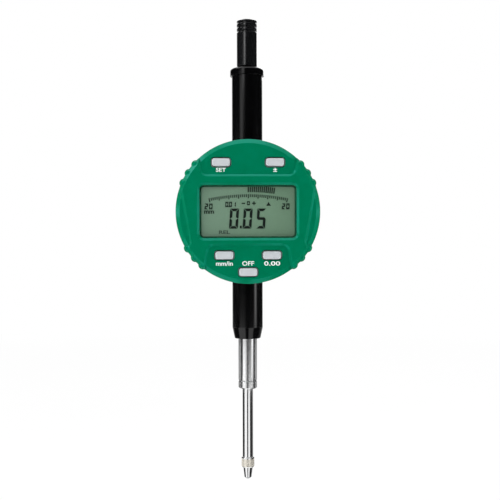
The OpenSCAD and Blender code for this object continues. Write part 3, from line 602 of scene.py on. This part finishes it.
# Soft black strips with no shine
rubber = plain_part("silicone_rubber_strip", "#1d1e20", "#2b2d30", grain=0.3, rough=0.7)
# Amber ribbon with a slight shine
polyimide = plain_part("polyimide_ribbon", "#b3772f", "#cf9244", grain=0.8, rough=0.3)
# Off-white, waxy washer and socket
ptfe = plain_part("ptfe_sheet", "#dedbd2", "#eeece6", grain=0.6, rough=0.5)
# Green of the frame just inside the window; its darker tone is partly painted shade of the window's opening
holder_green_painted_shade = plain_part("moulded_abs_green_painted_shade", "#145a41", "#1a664a", grain=0.5, rough=0.5)
# Dark grey, faintly waxy carriage
acetal_grey = plain_part("acetal_carriage", "#2c2e31", "#3c3f43", grain=0.7, rough=0.45)

# CAD nodes whose shape stays as it is
for node, material in {
    "display_window": window_clear, "display_glass": display_ground, "display_holder": holder_green_painted_shade,
    "contact_strips": rubber, "display_board": board_green, "display_board_screws": zinc,
    "dome_switches": zinc, "cable_socket": ptfe, "friction_washer": ptfe, "turn_ring": zinc,
    "turn_ring_screws": zinc, "reader_board": board_green, "reader_chips": chip_black,
    "reader_screws": zinc, "display_cable": polyimide, "battery": zinc, "battery_contacts": bronze,
    "upper_bush": bronze, "stem_bush_upper": bronze, "stem_bush_lower": bronze,
    "scale_carrier": acetal_grey, "scale_strip": bronze, "carrier_screws": zinc, "guide_pin": ground_steel,
}.items():
    data = nodes[node].data
    data.materials.clear()
    data.materials.append(material)


# Turned parts about the spindle axis


def dress_turned(name, outline, easing, material, body):
    """A finely turned part that stands for the CAD node of its name."""
    thing = shown(name + "_turned", turned(name, outline, easing), material, body)
    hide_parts(name)
    return thing


# Stem with its ring line, and the lower tube with the tapered nose that holds it
FIT = 0.02
BUSH_SEAT = 3.04
STEM_R = 4.0
STEM_CHAMFER = 0.5
STEM_END = -10.9
LINE_Z = -7.5
LINE_CUT = 0.25
NOSE_R = 5.55
NOSE_END = 10.9
NOSE_TOP = 15.7
SPIGOT_R = 3.7
SPIGOT_TOP = 17.7
TUBE_R = 6.575
BORE_R = 5.375
TUBE_SEAT = 19.0
dress_turned("stem", [
    (BUSH_SEAT, STEM_END), (STEM_R - STEM_CHAMFER, STEM_END), (STEM_R, STEM_END + STEM_CHAMFER),
    (STEM_R, LINE_Z - LINE_CUT), (STEM_R - LINE_CUT, LINE_Z), (STEM_R, LINE_Z + LINE_CUT),
    (STEM_R, NOSE_END), (SPIGOT_R, NOSE_END), (SPIGOT_R, SPIGOT_TOP), (BUSH_SEAT, SPIGOT_TOP),
], easing=0.06, material=ground_steel, body="frame")
dress_turned("lower_tube", [
    (SPIGOT_R + FIT, NOSE_END), (NOSE_R, NOSE_END), (TUBE_R, NOSE_TOP), (TUBE_R, HEAD_Z - TUBE_SEAT),
    (BORE_R, HEAD_Z - TUBE_SEAT), (BORE_R, SPIGOT_TOP), (SPIGOT_R + FIT, SPIGOT_TOP),
], easing=0.25, material=tube_black, body="frame")

# Upper tube, flanged end cap and grooved lifting cap
TUBE_TOP = 123.6
PLUG = 6.0
RIM_R = 7.3
RIM_TOP = 125.8
CROWN_TOP = 127.2
CAP_R = 4.385
CAP_BOTTOM = 127.5
CAP_TOP = 147.6
CAP_EDGE = 0.4
GROOVE = 0.6
GROOVE_PITCH = 1.82
SPINDLE_R = 2.25
SPINDLE_TOP = 139.5
dress_turned("upper_tube", [
    (BORE_R, HEAD_Z + TUBE_SEAT), (TUBE_R, HEAD_Z + TUBE_SEAT), (TUBE_R, TUBE_TOP), (BORE_R, TUBE_TOP),
], easing=0.1, material=tube_black, body="frame")
crown = arc((CAP_R, RIM_TOP), (RIM_R - CAP_R, CROWN_TOP - RIM_TOP), first=0, last=90, steps=12)
dress_turned("upper_end_cap", [
    (BUSH_SEAT, TUBE_TOP - PLUG), (BORE_R - FIT, TUBE_TOP - PLUG), (BORE_R - FIT, TUBE_TOP),
    (RIM_R, TUBE_TOP),
] + crown + [(BUSH_SEAT, CROWN_TOP)], easing=0.12, material=end_black, body="frame")
grooves = []
for k in range(3):
    # Each groove's walls and floor, in eighths of the pitch
    for step, inward in ((2, 0.0), (3, GROOVE), (5, GROOVE), (6, 0.0)):
        grooves.append((CAP_R - inward, CAP_TOP - CAP_EDGE - GROOVE_PITCH * (k + step / 8)))
dress_turned("lifting_cap", [
    (0.0, CAP_TOP), (CAP_R - 2 * CAP_EDGE, CAP_TOP), (CAP_R, CAP_TOP - CAP_EDGE),
] + grooves + [
    (CAP_R, CAP_BOTTOM + CAP_EDGE), (CAP_R - CAP_EDGE, CAP_BOTTOM), (SPINDLE_R, CAP_BOTTOM),
    (SPINDLE_R, SPINDLE_TOP), (0.0, SPINDLE_TOP),
], easing=0.1, material=cap_black, body="spindle_unit")

# Spindle with the contact point that screws into it, and the contact's ball
COLLAR_R = 2.75
COLLAR_TOP = -40.7
COLLAR_END = -45.2
COLLAR_RIM = 0.2
COLLAR_CHAMFER = 0.3
KNURL_TOP = COLLAR_TOP - 0.75
KNURL_END = COLLAR_END + 0.4
KNURL_DEPTH = 0.08
THREAD_R = 1.25
THREAD_LENGTH = 6.0
THREAD_RELIEF = 0.5
THREAD_TOP = COLLAR_TOP + THREAD_LENGTH
CONE_R = 2.1
CONE_END_R = 1.5
CONE_END = -49.6
BALL_R = 1.5
BALL_Z = CONE_END + 0.75
BALL_SEAT_R = 1.3
dress_turned("spindle", [
    (0.0, THREAD_TOP + THREAD_RELIEF), (THREAD_R, THREAD_TOP + THREAD_RELIEF), (THREAD_R, COLLAR_TOP),
    (SPINDLE_R, COLLAR_TOP), (SPINDLE_R, SPINDLE_TOP), (0.0, SPINDLE_TOP),
], easing=0.1, material=polished_steel, body="spindle_unit")
seat = arc((0.0, BALL_Z), (BALL_R, BALL_R), first=30, last=90, steps=6)
contact = dress_turned("contact_point", [
    (0.0, THREAD_TOP), (THREAD_R, THREAD_TOP), (THREAD_R, COLLAR_TOP), (COLLAR_R - COLLAR_RIM, COLLAR_TOP),
    (COLLAR_R, COLLAR_TOP - COLLAR_RIM), (COLLAR_R, KNURL_TOP), (COLLAR_R - KNURL_DEPTH, KNURL_TOP),
    (COLLAR_R - KNURL_DEPTH, KNURL_END), (COLLAR_R - COLLAR_CHAMFER, COLLAR_END), (CONE_R, COLLAR_END),
    (CONE_END_R, CONE_END), (BALL_SEAT_R, CONE_END),
] + seat, easing=0.08, material=polished_steel, body="spindle_unit")
# The collar's knurled band is plated satin, between its bright rim and the bright cone
contact.data.materials.append(nickel)
for face in contact.data.polygons:
    face.material_index = 1 if KNURL_END * MM < face.center.z < KNURL_TOP * MM else 0
ball = arc((0.0, BALL_Z), (BALL_R, BALL_R), first=-90, last=90, steps=24)
dress_turned("contact_ball", ball, easing=0.0, material=carbide, body="spindle_unit")

# Knurl of the contact's collar: ridges with one corner outwards, level with the rim
RIDGE = 0.34
tree, keys = knurl_tree()
ridges = grown("collar_knurl", tree, keys, {
    "Count": 26, "Radius": (COLLAR_R - RIDGE / math.sqrt(2)) * MM, "Height": (KNURL_TOP - KNURL_END) * MM,
    "Ridge": RIDGE * MM, "Middle": (KNURL_TOP + KNURL_END) / 2 * MM, "Material": nickel,
})
knurl = shown("collar_knurl", ridges, nickel, "spindle_unit", KNURL_SMOOTH)

# Return spring, a wound wire in the space of the CAD's spring
SPRING_WIRE = 0.5
SPRING_TURNS = 14
spring_low, spring_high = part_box("return_spring")
spring_height = spring_high.z - spring_low.z
tree, keys = spring_tree()
coil = grown("return_spring", tree, keys, {
    "Turns": SPRING_TURNS, "Radius": spring_high.x - SPRING_WIRE / 2 * MM, "Wire": SPRING_WIRE * MM,
    "Height": spring_height - SPRING_WIRE * MM, "Bottom": spring_low.z + SPRING_WIRE / 2 * MM,
    "Material": ground_steel,
})
spring = shown("return_spring_wound", coil, ground_steel, "frame")
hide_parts("return_spring")
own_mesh(spring)

# Moulded parts with eased edges: node, width of its easing, finish, body
KEYS = ("key_upper_left", "key_upper_right", "key_lower_left", "key_lower_right", "key_bottom")
moulded = [
    ("front_case", 0.12, case_green, "head"),
    ("head_back", 0.12, body_black, "head"),
    ("frame_body", 0.15, body_black, "frame"),
    ("back_cover", 0.2, body_black, "frame"),
    ("battery_door", 0.12, body_black, "door"),
]
moulded += [(key, 0.14, key_grey, key) for key in KEYS]
for node, width, material, body in moulded:
    thing = shown(node + "_moulded", softened(node, width), material, body, MOULD_SMOOTH)
    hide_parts(node)


# Countersunk screws with a cross recess

SCREW_STEPS = 32
# Shares of the head's radius: the cross's reach, half width and depth; its floor is smaller than its mouth
CROSS_REACH = 0.62
CROSS_HALF = 0.14
CROSS_DEPTH = 0.45
CROSS_FLOOR = 0.7


def cross_screw(name, head_r, shank_r, length):
    """A countersunk screw, its face at height 0 and its shank downwards, with a cross recess."""
    arm, half, deep = CROSS_REACH * head_r, CROSS_HALF * head_r, CROSS_DEPTH * head_r
    work = bmesh.new()
    rim = []
    for k in range(SCREW_STEPS):
        turn = 2 * math.pi * k / SCREW_STEPS
        rim.append(work.verts.new((head_r * math.cos(turn), head_r * math.sin(turn), 0)))
    cross = []
    for k in range(4):
        turn = Matrix.Rotation(math.pi / 2 * k, 4, "Z")
        for x, y in ((half, -half), (arm, -half), (arm, half)):
            cross.append(work.verts.new(turn @ Vector((x, y, 0))))
    edges = []
    for loop in (rim, cross):
        for i, vert in enumerate(loop):
            edges.append(work.edges.new((vert, loop[(i + 1) % len(loop)])))
    bmesh.ops.triangle_fill(work, use_beauty=True, use_dissolve=False, edges=edges, normal=(0, 0, 1))
    floor = [work.verts.new((v.co.x * CROSS_FLOOR, v.co.y * CROSS_FLOOR, -deep)) for v in cross]
    work.faces.new(floor)
    for i in range(len(cross)):
        j = (i + 1) % len(cross)
        work.faces.new((cross[i], cross[j], floor[j], floor[i]))
    rings = [rim]
    for r, z in ((shank_r, shank_r - head_r), (shank_r, -length)):
        rings.append([work.verts.new((v.co.x / head_r * r, v.co.y / head_r * r, z)) for v in rim])
    for upper, lower in zip(rings, rings[1:]):
        for i in range(SCREW_STEPS):
            j = (i + 1) % SCREW_STEPS
            work.faces.new((upper[i], upper[j], lower[j], lower[i]))
    work.faces.new(rings[-1])
    work.transform(Matrix.Scale(MM, 4))
    return solid_mesh(name, work)


# Each set of four: radii of head and shank, length, circle and angle of the places, depth of the faces
tree, keys = screws_tree()
for node, head_r, shank_r, length, circle_r, angle, depth, body in (
    ("back_screws", 1.9, 1.0, 7.0, 22.0, 45, -10.8, "frame"),
    ("head_screws", 1.4, 0.8, 6.0, 27.1, 20, 8.6, "head"),
):
    pattern = put(node + "_pattern", cross_screw(node, head_r, shank_r, length))
    mesh = grown(node, tree, keys, {
        "Screw": pattern, "Size X": 2 * circle_r * math.cos(math.radians(angle)) * MM,
        "Size Y": 2 * circle_r * math.sin(math.radians(angle)) * MM, "Material": zinc,
    })
    bpy.data.objects.remove(pattern)
    # The screws face backwards
    mesh.transform(TO_HEAD @ Matrix.Translation((0, 0, depth * MM)) @ Matrix.Rotation(math.pi, 4, "X"))
    screws = shown(node + "_cross", mesh, zinc, body)
    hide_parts(node)

# The display's scale and bar, radial about one centre under the screen
INK_LOW = GLASS_FRONT + 0.01
INK_HIGH = GLASS_FRONT + 0.04
INK_MIDDLE = (INK_LOW + INK_HIGH) / 2
ARC_X = 0.16
ARC_Y = -74.1
tree, keys = marks_tree()
marks = {"Thickness": (INK_HIGH - INK_LOW) * MM, "Material": display_dark}
scale_mesh = grown("display_scale", tree, keys, {
    **marks, "Count": 41, "First": -20, "Step": 0.01003, "Radius": 81.3 * MM,
    "Short": 1.2 * MM, "Long": 1.7 * MM, "Every": 5, "Width": 0.45 * MM,
})
bar_mesh = grown("display_bar", tree, keys, {
    **marks, "Count": 14, "First": 0, "Step": 0.00987, "Radius": 84.65 * MM,
    "Short": 2.5 * MM, "Long": 2.5 * MM, "Every": 1, "Width": 0.54 * MM,
})
for name, mesh in (("display_scale", scale_mesh), ("display_bar", bar_mesh)):
    mesh.transform(TO_HEAD @ Matrix.Translation((ARC_X * MM, ARC_Y * MM, INK_MIDDLE * MM)))
    shown(name, mesh, display_dark, "head")


# Seven-segment figures

SEGMENTS = {"0": "abcdef", "1": "bc", "2": "abged", "5": "afgcd"}


def segment(letter, wide, high, stroke, gap):
    """The outline of one segment of a figure whose lower left corner is at 0, 0."""
    mid = high / 2
    half = stroke / 2
    if letter == "g":
        return [
            (gap + half, mid - half), (wide - gap - half, mid - half), (wide - gap, mid),
            (wide - gap - half, mid + half), (gap + half, mid + half), (gap, mid),
        ]
    if letter in "ad":
        inner = high - stroke
        shape = [(gap, high), (wide - gap, high), (wide - gap - stroke, inner), (gap + stroke, inner)]
        return shape if letter == "a" else [(x, high - y) for x, y in shape]
    shape = [
        (0, high - gap), (stroke, high - gap - stroke), (stroke, mid + gap + half), (half, mid + gap),
        (0, mid + gap),
    ]
    if letter in "bc":
        shape = [(wide - x, y) for x, y in shape]
    if letter in "ec":
        shape = [(x, high - y) for x, y in shape]
    return shape


def figures(text, left, bottom, wide, high, pitch, stroke, gap=0.01, lean=0.045):
    """Outlines of a row of slightly slanted seven-segment figures."""
    outlines = []
    for i, figure in enumerate(text):
        for letter in SEGMENTS[figure]:
            shape = segment(letter, wide, high, stroke, gap)
            outlines.append([(left + i * pitch + x + lean * y, bottom + y) for x, y in shape])
    return outlines


def block(left, bottom, right, top):
    """The outline of a plain rectangle."""
    return [(left, bottom), (right, bottom), (right, top), (left, top)]


# The reading with its point
reading = figures("005", -7.9, -7.0, wide=3.7, high=8.3, pitch=5.62, stroke=1.1, gap=0.11, lean=0.07)
reading.append(block(-3.35, -6.95, -2.55, -5.8))
# The resolution with its point, and the ends of the scale
small_marks = figures("001", -9.4, 1.9, wide=1.25, high=2.2, pitch=1.55, stroke=0.48)
small_marks.append(block(-8.13, 1.9, -7.87, 2.25))
small_marks += figures("20", -17.95, 0.95, wide=1.45, high=2.45, pitch=1.85, stroke=0.54)
small_marks += figures("20", 13.95, 0.95, wide=1.4, high=2.45, pitch=1.8, stroke=0.54)
# Minus, nought, plus in three bars, and the pointer
small_marks.append(block(-2.6, 3.2, -1.15, 3.7))
small_marks += figures("0", -0.38, 2.65, wide=1.2, high=1.7, pitch=1.0, stroke=0.46, lean=0.0)
small_marks.append(block(1.72, 3.2, 3.28, 3.7))
small_marks.append(block(2.25, 2.7, 2.75, 3.2))
small_marks.append(block(2.25, 3.7, 2.75, 4.22))
small_marks.append([(7.5, 2.4), (9.5, 2.4), (8.5, 3.98)])
for name, outlines in (("display_reading", reading), ("display_small_marks", small_marks)):
    shown(name, flat_shapes(name, outlines, INK_LOW, INK_HIGH), display_dark, "head")
# How much heavier than the font the display's words and the key legends are
WORD_WEIGHT = 0.035
LEGEND_WEIGHT = 0.02
for name, text, box, ink in (
    ("display_unit", "mm", (-18.1, -0.85, -14.0, 0.55), display_dark),
    ("display_mode", "REL", (-12.0, -9.2, -7.4, -7.7), display_faint),
):
    word = lettering(name, text, box, INK_LOW, INK_HIGH, WORD_WEIGHT)
    shown(name, word, ink, "head")

# Printed legends under and over the keys
PRINT_LOW = SUNK_FACE - 0.01
PRINT_HIGH = SUNK_FACE + 0.03
for name, text, box in (
    ("legend_upper_left", "SET", (-13.1, 16.2, -9.0, 17.85)),
    ("legend_upper_right", "±", (10.3, 16.2, 11.9, 17.85)),
    ("legend_lower_left", "mm/in", (-13.2, -22.2, -6.3, -20.35)),
    ("legend_bottom", "OFF", (-2.45, -22.2, 2.4, -20.35)),
    ("legend_lower_right", "0.00", (6.5, -22.2, 13.1, -20.4)),
):
    word = lettering(name, text, box, PRINT_LOW, PRINT_HIGH, LEGEND_WEIGHT)
    shown(name, word, white_print, "head")

# Studio: floor, cards, lamps, world and camera
FLOOR_Z = -72.0
FLOOR_REACH = 3000


def seen_ray(tree):
    """1 for what the eye sees, straight, in a gloss or through a window, and 0 for light on other things."""
    path = add(tree, "ShaderNodeLightPath")
    sockets = {0: path.outputs["Is Camera Ray"], 1: path.outputs["Is Glossy Ray"]}
    straight = add(tree, "ShaderNodeMath", sockets, operation="MAXIMUM")
    sockets = {0: straight.outputs[0], 1: path.outputs["Is Transmission Ray"]}
    return add(tree, "ShaderNodeMath", sockets, operation="MAXIMUM").outputs[0]


def pale_floor():
    """A pale painted floor: white to the camera and in reflections, with the shadow kept near the object."""
    material, tree, shader, place = finish("pale_painted_floor", roughness=0.6)
    cloud = add(tree, "ShaderNodeTexNoise", {"Vector": place, "Scale": per(60.0), "Detail": 3.0})
    sockets = {0: cloud.outputs["Fac"], 6: colour("#f4f4f4"), 7: colour("#fbfbfb")}
    skin = add(tree, "ShaderNodeMix", sockets, data_type="RGBA")
    tree.links.new(skin.outputs[2], shader.inputs["Base Color"])
    far = add(tree, "ShaderNodeVectorMath", {0: place}, operation="LENGTH").outputs["Value"]
    sockets = {"Value": far, "From Min": 250 * MM, "From Max": 750 * MM, "To Min": 0.9, "To Max": 1.0}
    white = add(tree, "ShaderNodeMapRange", sockets).outputs[0]
    share = add(tree, "ShaderNodeMath", {0: seen_ray(tree), 1: white}, operation="MULTIPLY").outputs[0]
    glow = add(tree, "ShaderNodeEmission", {"Color": colour("#ffffff"), "Strength": 1.0})
    both = add(tree, "ShaderNodeMixShader", {0: share, 1: shader.outputs[0], 2: glow.outputs[0]})
    output = next(n for n in tree.nodes if n.type == "OUTPUT_MATERIAL")
    tree.links.new(both.outputs[0], output.inputs["Surface"])
    return material


def staged(name, mesh, material):
    """Put a mesh of the studio in the scene."""
    mesh.materials.append(material)
    thing = put(name, mesh)
    return thing


corners = block(-FLOOR_REACH, -FLOOR_REACH, FLOOR_REACH, FLOOR_REACH)
floor_mesh = bpy.data.meshes.new("floor")
floor_mesh.from_pydata([(x * MM, y * MM, FLOOR_Z * MM) for x, y in corners], [], [(0, 1, 2, 3)])
staged("floor", floor_mesh, pale_floor())

# Cards that only reflections see: black for dark streaks, grey and pale for their soft sides
CARD_STEPS = 16
card_black = plain_part("black_flag_cloth", "#040404", "#080808", grain=20.0, rough=0.9)
card_grey = plain_part("grey_flag_cloth", "#6a6a6a", "#787878", grain=20.0, rough=0.9)
card_pale = plain_part("pale_flag_cloth", "#929292", "#9e9e9e", grain=20.0, rough=0.9)


def card(name, material, start, end, section):
    """A card swept round the spindle axis from a section of radius and height."""
    work = bmesh.new()
    columns = []
    for k in range(CARD_STEPS + 1):
        turn = math.radians(start + (end - start) * k / CARD_STEPS)
        across, along = math.sin(turn) * MM, -math.cos(turn) * MM
        columns.append([work.verts.new((r * across, r * along, z * MM)) for r, z in section])
    for left, right in zip(columns, columns[1:]):
        for i in range(len(section) - 1):
            work.faces.new((left[i], right[i], right[i + 1], left[i + 1]))
    thing = staged(name, plain_mesh(name, work), material)
    thing.visible_camera = False
    thing.visible_diffuse = False
    thing.visible_shadow = False


# Heights and radii of the cards, with a gap in the left wall and one under the right wall
CARD_Z = FLOOR_Z + 1.0
WALL = 700
WALL_TOP = 900
GAP_LOW = 142
GAP_HIGH = 262
LEFT_FOOT = -62
RIGHT_FOOT = 80
FAR_IN = 338
NEAR_OUT = 333
NEAR_IN = 25
# A ring of floor left bare on the left, which lights the collar
BARE_IN = 60
BARE_OUT = 100
full_wall = [(WALL, CARD_Z), (WALL, WALL_TOP)]
gap_side = [(WALL, GAP_LOW), (WALL, GAP_HIGH)]
far_ground = [(FAR_IN, CARD_Z), (WALL, CARD_Z)]
near_ground = [(NEAR_IN, CARD_Z), (NEAR_OUT, CARD_Z)]

# Each card: name, cloth, first and last angle from the camera's side to the right, section
for name, cloth, start, end, section in (
    ("front_wall", card_black, -25, 50, full_wall),
    ("left_wall", card_black, -150, -62, full_wall),
    ("right_wall", card_black, 72, 150, full_wall),
    ("left_low_wall", card_black, -62, -25, [(WALL, LEFT_FOOT), (WALL, GAP_LOW)]),
    ("left_high_wall", card_black, -62, -40, [(WALL, GAP_HIGH), (WALL, WALL_TOP)]),
    ("left_outer_strip", card_grey, -62, -59, gap_side),
    ("left_outer_half", card_pale, -59, -54, gap_side),
    ("left_inner_half", card_pale, -36, -31, gap_side),
    ("left_inner_strip", card_grey, -31, -25, gap_side),
    ("right_high_wall", card_black, 50, 72, [(WALL, RIGHT_FOOT), (WALL, WALL_TOP)]),
    ("far_front_ground", card_grey, -16, 18, far_ground),
    ("far_left_ground", card_black, -100, -64, far_ground),
    ("far_front_right_ground", card_pale, 18, 41, far_ground),
    ("far_right_ground", card_black, 70, 102, far_ground),
    ("far_back_ground", card_pale, 102, 260, far_ground),
    ("near_left_ground", card_black, -170, -77, [(BARE_OUT, CARD_Z), (NEAR_OUT, CARD_Z)]),
    ("inner_left_ground", card_black, -170, -77, [(NEAR_IN, CARD_Z), (BARE_IN, CARD_Z)]),
    ("near_front_ground", card_black, -19, 8, near_ground),
    ("near_right_ground", card_black, 46, 112, near_ground),
    ("near_back_ground", card_grey, 112, 170, near_ground),
):
    card(name, cloth, start, end, section)


def lamp(name, spot, aim, wide, high, level, mirrored):
    """A soft box of a given radiance, aimed at a point, that shows in reflections or not."""
    data = bpy.data.lights.new(name, "AREA")
    data.shape = "RECTANGLE"
    data.size = wide * MM
    data.size_y = high * MM
    data.energy = level * math.pi * wide * high * MM * MM
    thing = put(name, data)
    thing.location = Vector(spot) * MM
    thing.rotation_euler = (Vector(aim) - Vector(spot)).to_track_quat("-Z", "Y").to_euler()
    thing.visible_glossy = mirrored


# Each lamp: name, place, aim, width, height, radiance, and whether reflections show it
middle = (0, 0, HEAD_Z)
face_middle = (0, -20, HEAD_Z)
for name, spot, aim, wide, high, level, mirrored in (
    ("left_low_box", (-300, -265, -64), (0, 0, 0), 105, 14, 1.4, True),
    ("left_high_box", (-281, -552, 296), (0, 0, 137), 190, 80, 3.3, True),
    ("right_box", (444, -246, 18), (0, 0, 25), 110, 90, 2.0, True),
    ("left_mid_box", (-660, -20, 80), face_middle, 420, 70, 2.4, True),
    ("right_mid_box", (660, -20, 75), face_middle, 420, 70, 1.6, True),
    ("upper_left_box", (-520, -110, 520), middle, 260, 260, 3.0, True),
    ("front_box", (-130, -580, 240), middle, 420, 300, 2.1, False),
    ("overhead_box", (-60, -25, 760), middle, 600, 420, 0.9, True),
    ("overhead_fill", (-60, -60, 740), middle, 500, 260, 2.3, False),
    ("left_side_box", (-600, -40, 150), middle, 500, 700, 2.8, False),
    ("right_side_box", (600, -40, 100), middle, 500, 700, 3.1, False),
    ("back_box", (150, 560, 380), middle, 420, 300, 3.0, True),
):
    lamp(name, spot, aim, wide, high, level, mirrored)

# A white world to the eye, and a dimmer one as light
world = bpy.data.worlds.new("white_studio")
scene.world = world
world.use_nodes = True
tree = world.node_tree
tree.nodes.clear()
sockets = {"Value": seen_ray(tree), "To Min": 0.36, "To Max": 1.0}
level = add(tree, "ShaderNodeMapRange", sockets).outputs[0]
sky = add(tree, "ShaderNodeBackground", {"Color": colour("#ffffff"), "Strength": level})
add(tree, "ShaderNodeOutputWorld", {"Surface": sky.outputs[0]})

camera_data = bpy.data.cameras.new("camera")
camera_data.lens = 59.54
camera_data.sensor_width = 36.0
camera_data.clip_start = 0.01
camera = put("camera", camera_data)
camera.location = Vector((-5.5, -357.7, 54.9)) * MM
aim = Vector((1.1, 0.0, 48.9)) * MM
# The photograph leans by about an eighth of a degree
lean = Quaternion((0, 0, 1), math.radians(-0.14))
camera.rotation_euler = ((aim - camera.location).to_track_quat("-Z", "Y") @ lean).to_euler()
scene.camera = camera
scene.view_settings.view_transform = "Standard"
